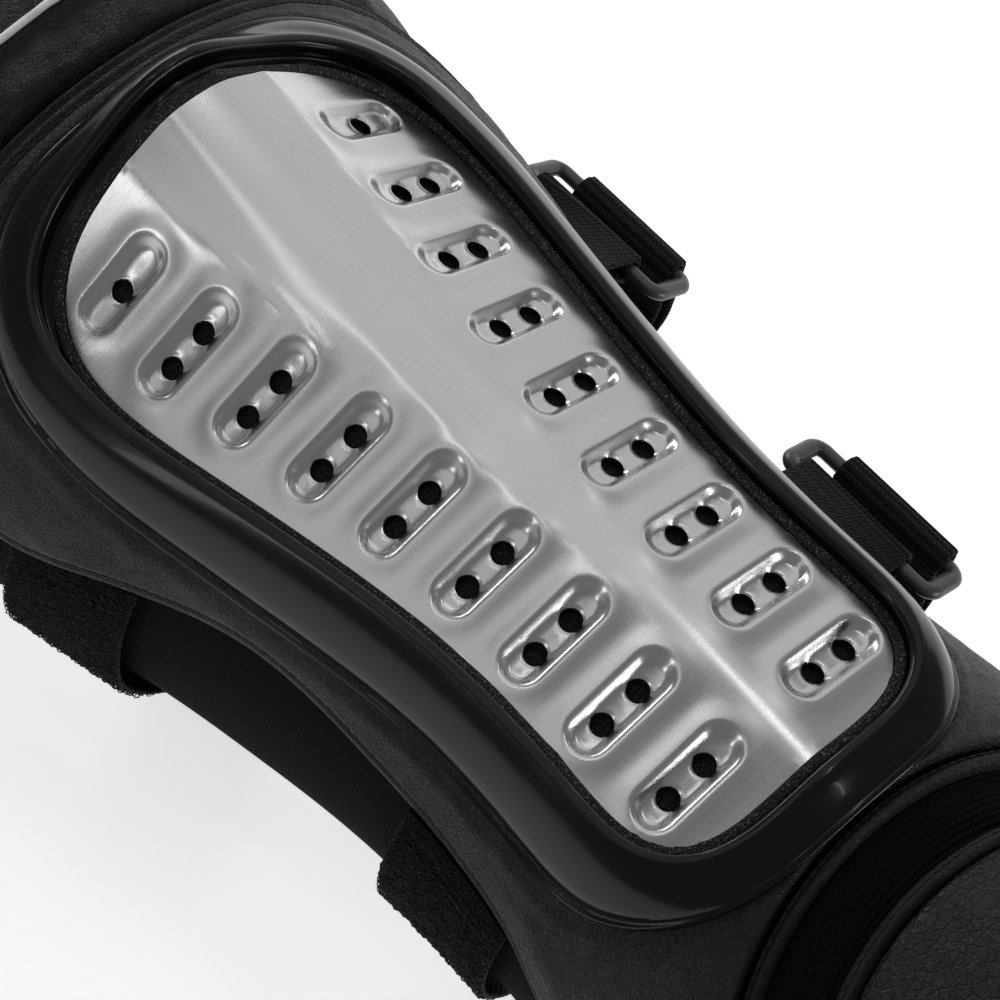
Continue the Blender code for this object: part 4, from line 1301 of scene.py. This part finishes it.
def shin_cushion(look):
    rows = []
    lines = [(share, pad_start(share), pad_finish(share)) for share in mirrored(150)]
    for v in spread(150):
        row = []
        for share, start, finish in lines:
            y = mix(start, finish, v)
            angle = share * pad_side(y)
            outer = on_pad_top(angle, y, start, finish)
            distance = plate_distance(outer.x, outer.y)
            if distance < 0.011 and outer.z > DATUM - 0.05:
                near = ease((0.011 - distance) / 0.004)
                low = min(outer.z, plate_height(outer.x, outer.y) - BED_DEPTH + 0.0022)
                outer.z += (low - outer.z) * near
            inner = on_leg(angle, y, LAYER_GAP)
            outer.z = max(outer.z, inner.z + 0.0004) if abs(angle) < 60 else outer.z
            row.append((outer, inner, share * PAD_ARC, y))
        rows.append(row)
    return quilt("shin_cushion", rows, look)


def panel_point(share, v):
    """Angle, place and thickness of the end panel at a share of its width and depth."""
    angle = share * mix(PANEL_HEM, PANEL_TIP, v ** PANEL_TAPER)
    depth = panel_line(share * PANEL_TIP) + WIDE_REACH
    y = -WIDE_REACH + depth * v
    side = math.sqrt(max(0.0, 1 - abs(share) ** 5))
    swell = math.sin(math.pi * min(1.0, v * 0.94 + 0.06)) ** 0.6
    full = PAD_WIDE * ease(v / 0.35) + PANEL_CROWN * swell
    thick = mix(HEM_THICKNESS, full, side * ease(v / 0.3))
    spot = on_leg(angle, y, thick)
    border = min((1 - abs(share)) * PANEL_ARC, depth * v)
    thick += 0.0011 * ruffle(spot, 0.022) * ease((border - 0.004) / 0.012)
    radiate = noise.noise(Vector((angle * 0.28, 3.0, y * 14.0)))
    thick += 0.0007 * radiate * bell(depth * (1 - v), 0.016) * ease((border - 0.003) / 0.010)
    thick -= 0.0009 * bell(border - PANEL_SEAM, 0.0009)
    thick -= 0.0009 * bell(depth * (1 - v), 0.0025)
    thick += 0.00012 * ruffle(spot, 0.004)
    thick *= roll(border, 0.0022, 0.30) * roll(depth * (1 - v), 0.0022, 0.55)
    return angle, y, thick


def on_panel(share, v, lift=0.0):
    """Point on the end panel's leather, or a little above it."""
    angle, y, thick = panel_point(share, v)
    return on_leg(angle, y, LAYER_GAP + thick + lift)


def end_cushion(look):
    def cell(share, v):
        angle, y, thick = panel_point(share, v)
        outer, inner = (on_leg(angle, y, off) for off in (LAYER_GAP + thick, LAYER_GAP))
        return outer, inner, share * 0.1, y

    rows = [[cell(share, v) for share in mirrored(150)] for v in spread(64)]
    return quilt("end_cushion", rows, look)


def stripe(look):
    """Plain round piping sewn across the end panel."""
    loops = [stripe_ring(share) for share in even(-0.93, 0.93, 180)]
    return ring_of("stripe_piping", loops, look, closed=False)


def stripe_ring(share):
    v = STRIPE_PLACE / (panel_line(share * PANEL_TIP) + WIDE_REACH)
    before, centre, after = (on_panel(share, step) for step in (v - 0.01, v, v + 0.01))
    angle, y, _ = panel_point(share, v)
    up = (on_leg(angle, y, 0.01) - on_leg(angle, y, 0.0)).normalized()
    along = (after - before).normalized()
    return [centre + (along * math.cos(a) * 1.15 + up * (math.sin(a) * 0.75 + 0.2)) * STRIPE_RADIUS
            for a in circle(12)]


# Knee

def oval_quilt(name, inner_extra, outer_extra, reach, profile, look, around, across):
    """Strip between two ovals round the knee cup: profile(share, turn) is its thickness."""
    rows = []
    for u in spread(across):
        extra = mix(inner_extra, outer_extra, u)
        rows.append([(on_seam(extra, turn, LAYER_GAP + profile(u, turn)),
                      on_seam(extra, turn, LAYER_GAP), extra, turn * (CUP_HALF_LENGTH + extra))
                     for turn in even(-math.radians(reach), math.radians(reach), around)])
    return quilt(name, rows, look)


def gusset(look):
    width = GUSSET_WIDTH - 2 * SEAM_GAP

    def profile(u, turn):
        rib = 0.00030 * math.cos(2 * math.pi * u * width / 0.00175)
        slack = 0.0004 * noise.noise(Vector((u * 3.0, turn * 9.0, 5.0)))
        pinch = 0.0007 * (bell(u * width, 0.002) + bell((1 - u) * width, 0.002))
        return GUSSET_THICKNESS - 0.0004 + rib + slack - pinch

    return oval_quilt("ribbed_gusset", SEAM_GAP, GUSSET_WIDTH - SEAM_GAP, 70.0, profile, look,
                      240, 90)


def binding_profile(u, turn):
    groove = 0.0007 * bell(u * BINDING_WIDTH - PAD_SEAM, 0.0005)
    pleat = 0.00022 * noise.noise(Vector((u * 2.0, turn * 40.0, 8.0)))
    return BINDING_THICKNESS * roll(min(u, 1 - u) * BINDING_WIDTH, 0.0022, 0.40) - groove + pleat


def pad_trim(look):
    return oval_quilt("pad_trim", GUSSET_WIDTH, GUSSET_WIDTH + BINDING_WIDTH - SEAM_GAP, 64.0,
                      binding_profile, look, 260, 24)


def cup_trim(look):
    """Folded binding all round the knee cup."""
    loops = []
    for turn in circle(400):
        loop = [on_seam(-BINDING_WIDTH * n / 14, turn,
                        LAYER_GAP + binding_profile(1 - n / 14, turn)) for n in range(15)]
        loop += [on_seam(extra, turn, LAYER_GAP) for extra in (-BINDING_WIDTH, 0.0)]
        loops.append(loop)
    return ring_of("cup_trim", loops, look)


def cup_height(share, turn):
    dome = CUP_CROWN - (CUP_CROWN - CUP_EDGE) * share ** 2.4
    spot = Vector((share * math.cos(turn), share * math.sin(turn), 0.0)) * 0.07
    inner = ease((1 - share) / 0.25)
    crinkle = 1 - abs(noise.noise(spot / 0.017 + Vector((4.0, 2.0, 1.0)))) * 2.2
    dome += inner * (0.0007 * ruffle(spot, 0.026) + 0.00035 * crinkle)
    radial = noise.noise(Vector((math.cos(turn) * 7.0, math.sin(turn) * 7.0, share * 1.6)))
    dome += 0.0007 * radial * bell(share - 0.93, 0.09)
    dome -= 0.0006 * bell((1 - share) * CUP_HALF_LENGTH, 0.0016)
    return dome


def knee_cushion(look):
    """Domed leather cup with soft wrinkles, gathered along its binding."""
    rim = BINDING_WIDTH + SEAM_GAP

    def point(share, turn, side):
        arc = (CUP_HALF_WIDTH - rim) * share * math.sin(turn)
        y = CUP_PLACE - (CUP_HALF_LENGTH - rim) * share * math.cos(turn)
        off = LAYER_GAP + (cup_height(share, turn) if side else 0.0)
        return on_leg(angle_of_arc(arc, y), y, off)

    data = bmesh.new()
    steps, rings = 200, 90
    skins = []
    for side in (1, 0):
        centre = data.verts.new(placed(point(0.0, 0.0, side)))
        shares = [math.sin(math.pi / 2 * (r + 1) / rings) for r in range(rings)]
        loops = [[data.verts.new(placed(point(share, turn, side))) for turn in circle(steps)]
                 for share in shares]
        for k in range(steps):
            data.faces.new((centre, loops[0][k], loops[0][(k + 1) % steps]))
        for loop, after in zip(loops, loops[1:]):
            for k in range(steps):
                n = (k + 1) % steps
                data.faces.new((loop[k], after[k], after[n], loop[n]))
        skins.append(loops[-1])
    for k in range(steps):
        n = (k + 1) % steps
        data.faces.new((skins[0][k], skins[0][n], skins[1][n], skins[1][k]))
    return shape("knee_cushion", data, look)


# Straps and rings

STRAP_SHARES = (-1.0, -0.985, -0.95, -0.86, -0.6, -0.3, 0.0, 0.3, 0.6, 0.86, 0.95, 0.985, 1.0)


def webbing_band(name, path_at, parts, look, tree, sizes, plain=0.0):
    """Closed band of webbing with woven ribs: path_at(share) gives its middle line."""
    columns = [curve_through(path_at(share), parts) for share in STRAP_SHARES]
    centre = columns[len(columns) // 2]
    along = reaches(centre)
    data = bmesh.new()
    cloth = data.loops.layers.uv.new("Cloth")
    reach = data.verts.layers.float.new("along")
    lift = data.verts.layers.float_vector.new("lift")
    half = STRAP_THICKNESS / 2 - sizes.rib_depth
    grid, place = ([], []), {}
    for i in range(len(centre)):
        for side in (1, -1):
            line = []
            for j, share in enumerate(STRAP_SHARES):
                path = columns[j]
                before, after = path[max(i - 1, 0)], path[min(i + 1, len(path) - 1)]
                run = Vector((after.x - before.x, 0.0, after.z - before.z)).normalized()
                face = Vector((run.z, 0.0, -run.x)) * side
                edge = roll((1 - abs(share)) * STRAP_WIDTH / 2, 0.0009, 0.35)
                vert = data.verts.new(placed(path[i] + face * half * edge))
                vert[reach] = along[i]
                worn = ease((along[i] - plain) / 0.004)
                vert[lift] = face * edge * worn
                place[vert] = (share * STRAP_WIDTH / 2, along[i] + (0.0 if plain else 0.2))
                line.append(vert)
            grid[0 if side > 0 else 1].append(line)
    out, back = grid
    last = len(STRAP_SHARES) - 1
    for i in range(len(centre) - 1):
        for j in range(last):
            data.faces.new((out[i][j], out[i + 1][j], out[i + 1][j + 1], out[i][j + 1]))
            data.faces.new((back[i][j], back[i][j + 1], back[i + 1][j + 1], back[i + 1][j]))
        for j in (0, last):
            data.faces.new((out[i][j], back[i][j], back[i + 1][j], out[i + 1][j]))
    for i in (0, len(centre) - 1):
        for j in range(last):
            data.faces.new((out[i][j], out[i][j + 1], back[i][j + 1], back[i][j]))
    for face in data.faces:
        for loop in face.loops:
            loop[cloth].uv = place[loop.vert]
    thing = shape(name, data, look)
    return grown(thing, tree, look, rib_pitch=sizes.rib_pitch, rib_depth=sizes.rib_depth)


def looped_pile(name, path_at, finish, look, sizes):
    """Rough looped face of a strap from its sewn end up to a distance along it."""
    noise.seed_set(PILE_SEED)
    columns = round(STRAP_WIDTH / sizes.loop_pitch)
    spots, runs = [], []
    for j in range(columns):
        share = (2 * (j + 0.5) / columns - 1) * 0.97
        line = curve_through(path_at(share), 12)
        reach, goal = 0.0, sizes.loop_pitch * (0.3 + 0.5 * (j % 2))
        for one, two in zip(line, line[1:]):
            step = (two - one).length
            while reach + step > goal and goal < finish:
                spot = one.lerp(two, (goal - reach) / step)
                drift = noise.noise_vector(spot * 900.0)
                run = (two - one).normalized()
                out = Vector((run.z, 0.0, -run.x))
                if out.dot(spot - Vector((0.0, spot.y, AXIS_HEIGHT))) < 0:
                    out = -out
                spots.append(placed(spot + out * (STRAP_THICKNESS / 2 - 0.0002 + 0.0003 * drift.z)
                                    + run * drift.x * 0.0006 + Vector((0, drift.y * 0.0006, 0))))
                runs.append((run * (1.0 + drift.y) + Vector((0.0, 1.1 * drift.x, 0.0))
                             + out * drift.z * 0.6).normalized())
                goal += sizes.loop_pitch
            reach += step
    return grown(dotted(name, spots, runs), pile_tree(), look, loop_size=sizes.loop_size,
                 yarn_thickness=sizes.yarn_thickness)


def shifted(spot, y):
    """The same place of a section at another place along the guard."""
    return Vector((spot.x, y, spot.z))


def strap_path(left, ring_place, side_stand):
    """Middle line of a strap from the pad's left edge round the back and through its ring."""
    right = ring_place + RING_SKEW
    bar = ring_bars(ring_place)[1]
    entry = ring_angle(ring_place) - RING_SPREAD - 9.0
    half = STRAP_THICKNESS / 2
    under_bar = RING_OUTER_STAND - TURN_RADIUS
    pull = math.degrees(math.atan2(bar.z - section(ring_place)[1], bar.x))

    def stand_off(u):
        stand = side_stand * abs(math.sin(2 * math.pi * u)) ** 0.8
        rise = (under_bar - STRAP_CLEAR - half) * ease((u - 0.72) / 0.28)
        base = (REST_GAP - STRAP_THICKNESS) * ease((u - 0.2) / 0.2) * ease((0.85 - u) / 0.2)
        return max(STRAP_CLEAR + half + stand + rise, base + half)

    def path_at(share):
        shift = share * STRAP_WIDTH / 2
        path = []
        start = pad_side(left + shift) + math.degrees(4 * GAP / LEG_HALF_WIDTH)
        end = 360 + entry
        for u in even(0, 1, 22):
            y = mix(left, right, ease(u / 0.85))
            local = y + shift * ease((1.0 - u) / 0.10)
            spot = on_leg(mix(start, end, u), local, stand_off(u))
            path.append(Vector((spot.x, y + shift, max(spot.z, half))))
        path += [shifted(spot, right + shift) for spot in wrap(bar, pull + 180, pull + 370, 7)]
        for k in range(1, 7):
            back = STRAP_RETURN * k / 6 - 2.0
            lie = STRAP_THICKNESS + FOLD_GAP
            lie += (2 * TURN_RADIUS - lie) * (1 - k / 6) ** 2
            spot = on_leg(end - back, right, stand_off(1 - back / (end - start)) + lie)
            path.append(shifted(spot, right + shift))
        return path

    return path_at


def tab_path(ring_place):
    """Middle line of a ring's tab from the liner round the bar and back."""
    y = ring_place - RING_SKEW
    bar = ring_bars(ring_place)[0]

    def path_at(share):
        here = y + share * STRAP_WIDTH / 2
        edge = -pad_side(here) - math.degrees(6 * GAP / LEG_HALF_WIDTH)
        foot = on_leg(edge, here, 2 * GAP + STRAP_THICKNESS / 2)
        back = on_leg(edge, here, 2 * GAP + STRAP_THICKNESS * 2.0)
        turns = wrap(bar, touch(bar, foot, -1), touch(bar, back, 1) - 360, 8)
        return [shifted(spot, here) for spot in (foot, *turns, back)]

    return path_at


def knee_path(share):
    """Middle line of the strap behind the knee."""
    half = STRAP_THICKNESS / 2
    y = CUP_PLACE + 0.016 + share * STRAP_WIDTH / 2
    path = []
    for k in range(21):
        angle = 78 + 204 * k / 20
        sewn = ease(min(k, 20 - k) / 4)
        base = (REST_GAP - STRAP_THICKNESS) * ease(1 - abs(angle - 180) / 60)
        clear = mix(2 * GAP, STRAP_CLEAR, sewn)
        spot = on_leg(angle, y, max(clear, base) + half)
        path.append(Vector((spot.x, y, max(spot.z, half))))
    return path


def buckle_ring(name, y, look):
    """Rectangular ring with round bars and broad flat ends."""
    inner, outer = ring_bars(y)
    across = (outer - inner).normalized()
    along = Vector((0.0, 1.0, 0.0))
    normal = across.cross(along)
    middle = (inner + outer) / 2
    half = ((outer - inner).length / 2, RING_LENGTH / 2 - RING_BAR / 2)
    radius = RING_BAR * 0.8
    corners = ((1, -1), (1, 1), (-1, 1), (-1, -1))

    def slice_at(corner, turn):
        sx, sy = corners[corner % 4]
        out = across * math.cos(turn) + along * math.sin(turn)
        centre = (middle + across * sx * (half[0] - radius) + along * sy * (half[1] - radius)
                  + out * radius)
        broad = 1 + 0.28 * abs(math.sin(turn)) ** 2
        return [centre + (out * math.cos(a) * broad + normal * math.sin(a)) * RING_BAR / 2
                for a in circle(20)]

    loops = []
    for corner in range(4):
        first = math.pi / 2 * (corner - 1)
        loops += [slice_at(corner, turn) for turn in even(first, first + math.pi / 2, 12)]
        start, finish = loops[-1], slice_at(corner + 1, first + math.pi / 2)
        loops += [[one.lerp(two, m / 10) for one, two in zip(start, finish)]
                  for m in range(1, 10)]
    return ring_of(name, loops, look)


# Thread

def seam_rows():
    """Paths of the stitching on the pads and bindings."""
    rows, path = [], []
    for share in even(-1, 1, 160):
        start = pad_start(share)
        if abs(share) <= 0.955:
            y = start + RIM_SEAM
            path.append(on_pad_top(share * pad_side(y), y, start, 1.0, THREAD_LIFT))
    rows.append(path)
    for side in (1, -1):
        start, finish = pad_start(side), pad_finish(side)
        rows.append([on_pad_top(side * (pad_side(y) - math.degrees(PAD_SEAM / section(y)[0])), y,
                                start, finish, THREAD_LIFT)
                     for y in even(start + 0.004, finish - 0.002, 160)])
    for side in (1, -1):
        rows.append([on_panel(side * (1 - PANEL_SEAM / PANEL_ARC), v, THREAD_LIFT)
                     for v in even(0.08, 0.94, 80)])
    rows.append([on_panel(share, PANEL_SEAM / (panel_line(share * PANEL_TIP) + WIDE_REACH),
                          THREAD_LIFT) for share in even(-0.93, 0.93, 160)])
    share = PAD_SEAM / BINDING_WIDTH
    for extra, reach, steps in ((PAD_SEAM - BINDING_WIDTH, math.pi, 240),
                                (GUSSET_WIDTH + PAD_SEAM, math.radians(63.0), 160)):
        rows.append([on_seam(extra, turn, LAYER_GAP + THREAD_LIFT + binding_profile(share, turn))
                     for turn in even(-reach, reach, steps)])
    return rows


def hem_rows():
    """Paths of the stitching along the edges of the liner."""
    ends = (HEM_END_SEAM - WIDE_REACH, KNEE_REACH - HEM_END_SEAM)
    rows = [[liner_point(side * (1 - HEM_SEAM / LINER_ARC), y, 1) for y in even(*ends, 240)]
            for side in (1, -1)]
    return rows + [[liner_point(share, y, 1) for share in even(-0.95, 0.95, 240)] for y in ends]


def strap_rows(paths):
    """Cross stitching where each strap is sewn down: paths are (path_at, distances)."""
    rows = []
    for path_at, distances in paths:
        lines = [curve_through(path_at(share), 8) for share in (-0.82, -0.4, 0.0, 0.4, 0.82)]
        for distance in distances:
            row = []
            for line in lines:
                i = next(k for k, reach in enumerate(reaches(line)) if reach >= distance)
                run = (line[i + 1] - line[i])
                face = Vector((run.z, 0.0, -run.x)).normalized()
                out = 1 if face.dot(line[i] - Vector((0.0, line[i].y, AXIS_HEIGHT))) > 0 else -1
                row.append(line[i] + face * out * (STRAP_THICKNESS / 2 + 0.0001))
            rows.append(row)
    return rows


# Settings

class GuardSizes(bpy.types.PropertyGroup):
    slot_bulge: bpy.props.FloatProperty(
        name="Slot Bulge", description="Height of the raised metal round each slot",
        default=0.0005, unit="LENGTH")
    stitch_pitch: bpy.props.FloatProperty(
        name="Stitch Pitch", description="Distance from one stitch to the next",
        default=0.0031, unit="LENGTH")
    stitch_length: bpy.props.FloatProperty(
        name="Stitch Length", description="Length of each stitch that shows",
        default=0.0026, unit="LENGTH")
    thread_thickness: bpy.props.FloatProperty(
        name="Thread Thickness", description="Thickness of the sewing thread",
        default=0.0006, unit="LENGTH")
    rib_pitch: bpy.props.FloatProperty(
        name="Rib Pitch", description="Distance between the woven ribs of the straps",
        default=0.0024, unit="LENGTH")
    rib_depth: bpy.props.FloatProperty(
        name="Rib Depth", description="Height of the woven ribs of the straps",
        default=0.00045, unit="LENGTH")
    loop_pitch: bpy.props.FloatProperty(
        name="Loop Pitch", description="Distance between the loops of the rough strap ends",
        default=0.00150, unit="LENGTH")
    loop_size: bpy.props.FloatProperty(
        name="Loop Size", description="Radius of each loop of yarn",
        default=0.00095, unit="LENGTH")
    yarn_thickness: bpy.props.FloatProperty(
        name="Yarn Thickness", description="Radius of the yarn of the loops",
        default=0.00020, unit="LENGTH")


class GuardColours(bpy.types.PropertyGroup):
    steel: bpy.props.FloatVectorProperty(
        name="Steel", description="Colour of the brushed plate", subtype="COLOR",
        default=(0.60, 0.60, 0.61))
    frame: bpy.props.FloatVectorProperty(
        name="Frame", description="Colour of the glossy frame", subtype="COLOR",
        default=(0.004, 0.004, 0.0043))
    leather: bpy.props.FloatVectorProperty(
        name="Leather", description="Colour of the pads, the cup and the bindings", subtype="COLOR",
        default=(0.004, 0.004, 0.0043))
    fabric: bpy.props.FloatVectorProperty(
        name="Fabric", description="Colour of the knit and the foam", subtype="COLOR",
        default=(0.004, 0.004, 0.0042))
    webbing: bpy.props.FloatVectorProperty(
        name="Webbing", description="Colour of the straps", subtype="COLOR",
        default=(0.006, 0.006, 0.0064))
    ring: bpy.props.FloatVectorProperty(
        name="Ring", description="Colour of the plastic rings", subtype="COLOR",
        default=(0.05, 0.05, 0.053))
    stripe: bpy.props.FloatVectorProperty(
        name="Stripe", description="Colour of the piping on the end panel", subtype="COLOR",
        default=(0.92, 0.92, 0.92))


# Operators

class GuardOperator:
    """What the operators share."""
    bl_options = {"REGISTER", "UNDO"}

    def execute(self, context):
        scene = context.scene
        self.build(scene.guard_sizes, scene.guard_colours)
        return {"FINISHED"}


class GUARD_OT_plate(GuardOperator, bpy.types.Operator):
    """Pressed steel plate with its slots and holes"""
    bl_idname = "guard.plate"
    bl_label = "Steel Plate"

    def build(self, sizes, colours):
        settle(pressed_plate(steel_look(colours), sizes), "plate_steel", "shin_plate")


class GUARD_OT_frame(GuardOperator, bpy.types.Operator):
    """Moulded frame round the plate, and the foam strip in it"""
    bl_idname = "guard.frame"
    bl_label = "Frame and Gasket"

    def build(self, sizes, colours):
        settle(moulding(gloss_look(colours)), "frame_plastic", "plate_frame")
        settle(gasket(foam_look(colours)), "gasket_foam", "plate_gasket")


class GUARD_OT_liner(GuardOperator, bpy.types.Operator):
    """Knit liner that bends round the leg"""
    bl_idname = "guard.liner"
    bl_label = "Liner"

    def build(self, sizes, colours):
        look = knit_look("knit_fabric", colours, 0.0016)
        settle(knit_liner(look), "liner_fabric", "liner", fill=0.3)


class GUARD_OT_pads(GuardOperator, bpy.types.Operator):
    """Leather shin pad and end panel with its piping"""
    bl_idname = "guard.pads"
    bl_label = "Shin Pad and End Panel"

    def build(self, sizes, colours):
        look = leather_look("grained_leather", colours, 720.0, 0.40, 0.6)
        settle(shin_cushion(look), "pad_leather", "shin_pad", fill=0.8)
        settle(end_cushion(look), "panel_leather", "end_panel", fill=0.7)
        settle(stripe(stripe_look(colours)), "panel_leather")


class GUARD_OT_knee(GuardOperator, bpy.types.Operator):
    """Knee cup, its stretch gusset and their bindings"""
    bl_idname = "guard.knee"
    bl_label = "Knee Cup"

    def build(self, sizes, colours):
        soft = leather_look("cup_leather", colours, 420.0, 0.34, 1.6)
        trim = leather_look("binding_leather", colours, 1100.0, 0.42, 0.4)
        settle(knee_cushion(soft), "cup_leather", "knee_cup", fill=0.8)
        settle(gusset(knit_look("ribbed_knit", colours, 0.0012)), "gusset_knit", "knee_gusset")
        settle(pad_trim(trim), "binding_leather", "pad_binding")
        settle(cup_trim(trim), "binding_leather", "cup_binding")


class GUARD_OT_straps(GuardOperator, bpy.types.Operator):
    """Webbing straps, their tabs and rings, and the strap behind the knee"""
    bl_idname = "guard.straps"
    bl_label = "Straps and Rings"

    def build(self, sizes, colours):
        web, plastic, tree = webbing_look(colours), moulded_look(colours), rib_tree()
        yarn = thread_look("black_yarn", colours.webbing)
        for name, left, ring_place, stand in STRAP_PLACES:
            strap = webbing_band("webbing_" + name, strap_path(left, ring_place, stand), 12, web,
                                 tree, sizes)
            settle(strap, "strap_webbing", "strap_" + name)
            pile = looped_pile("pile_" + name, strap_path(left, ring_place, stand), PILE_LENGTH,
                               yarn, sizes)
            settle(pile, "strap_webbing")
            tab = webbing_band("tab_" + name, tab_path(ring_place), 12, web, tree, sizes, 0.001)
            settle(tab, "strap_webbing", "ring_tab_" + name)
            settle(buckle_ring("buckle_" + name, ring_place, plastic), "ring_plastic",
                   "ring_" + name)
        behind = webbing_band("webbing_knee", knee_path, 10, web, tree, sizes)
        settle(behind, "strap_webbing", "knee_strap")


class GUARD_OT_threads(GuardOperator, bpy.types.Operator):
    """Stitching on the pads, bindings, liner and strap ends"""
    bl_idname = "guard.threads"
    bl_label = "Stitching"

    def build(self, sizes, colours):
        look = thread_look("black_thread", shade(colours.webbing, 1.6))
        settle(stitched("pad_stitches", seam_rows(), look, sizes), "binding_leather")
        settle(stitched("hem_stitches", hem_rows(), look, sizes), "liner_fabric")
        ends = []
        for _, left, ring_place, stand in STRAP_PLACES:
            ends.append((strap_path(left, ring_place, stand), (0.004, 0.007)))
            ends.append((tab_path(ring_place), (0.003,)))
        settle(stitched("strap_stitches", strap_rows(ends), look, sizes), "strap_webbing")


class GUARD_OT_stage(GuardOperator, bpy.types.Operator):
    """Pale floor, soft lights and the camera"""
    bl_idname = "guard.stage"
    bl_label = "Stage"

    def build(self, sizes, colours):
        scene = bpy.context.scene
        data = bmesh.new()
        data.faces.new([data.verts.new((x * FLOOR_REACH, y * FLOOR_REACH, 0.0))
                        for x, y in ((-1, -1), (1, -1), (1, 1), (-1, 1))])
        floor = Look("pale_floor", 0.9)
        floor.feed("Base Color", floor.tint((0.86,) * 3, (0.88,) * 3, floor.noise(6.0)))
        floor.feed("Emission Color", floor.tint((1.0,) * 3, (0.99,) * 3, floor.noise(3.0)))
        floor.feed("Emission Strength", FLOOR_GLOW)
        ground = shape("floor", data, floor.material)

        for name, direction, distance, width, depth, brightness in LIGHTS:
            lamp = bpy.data.lights.new(name, "AREA")
            lamp.shape, lamp.size, lamp.size_y = "RECTANGLE", width, depth
            lamp.energy = brightness * math.pi * width * depth
            thing = bpy.data.objects.new(name, lamp)
            away = Vector(direction).normalized()
            thing.location = Vector(LIGHT_AIM) + away * distance
            thing.rotation_euler = away.to_track_quat("Z", "Y").to_euler()
            scene.collection.objects.link(thing)

        world = bpy.data.worlds.new("studio")
        world.use_nodes = True
        back = world.node_tree.nodes["Background"]
        back.inputs["Color"].default_value = (1.0, 1.0, 1.0, 1.0)
        back.inputs["Strength"].default_value = WORLD_STRENGTH
        scene.world = world

        camera = bpy.data.objects.new("camera", bpy.data.cameras.new("camera"))
        camera.data.lens = CAMERA_LENS
        camera.data.sensor_width = 36.0
        right, down, back = (Vector(axis) for axis in CAMERA_AXES)
        turn = Matrix((right, -down, back)).transposed().to_4x4()
        camera.matrix_world = Matrix.Translation(CAMERA_PLACE) @ turn
        scene.collection.objects.link(camera)
        scene.camera = camera
        scene.view_settings.view_transform = "Standard"


class GUARD_PT_panel(bpy.types.Panel):
    """Builds the guard piece by piece"""
    bl_idname = "GUARD_PT_panel"
    bl_label = "Knee and Shin Guard"
    bl_space_type = "VIEW_3D"
    bl_region_type = "UI"
    bl_category = "Guard"

    def draw(self, context):
        column = self.layout.column()
        for group in (context.scene.guard_sizes, context.scene.guard_colours):
            for name in group.__annotations__:
                column.prop(group, name)
        for operator in OPERATORS:
            column.operator(operator.bl_idname)


GROUPS = (GuardSizes, GuardColours)
OPERATORS = (GUARD_OT_plate, GUARD_OT_frame, GUARD_OT_liner, GUARD_OT_pads, GUARD_OT_knee,
             GUARD_OT_straps, GUARD_OT_threads, GUARD_OT_stage)
CLASSES = GROUPS + OPERATORS + (GUARD_PT_panel,)


def register():
    for kind in CLASSES:
        bpy.utils.register_class(kind)
    bpy.types.Scene.guard_sizes = bpy.props.PointerProperty(type=GuardSizes)
    bpy.types.Scene.guard_colours = bpy.props.PointerProperty(type=GuardColours)


def unregister():
    del bpy.types.Scene.guard_colours
    del bpy.types.Scene.guard_sizes
    for kind in reversed(CLASSES):
        bpy.utils.unregister_class(kind)


def main():
    register()
    for operator in OPERATORS:
        group, name = operator.bl_idname.split(".")
        getattr(getattr(bpy.ops, group), name)()


if __name__ == "__main__":
    main()
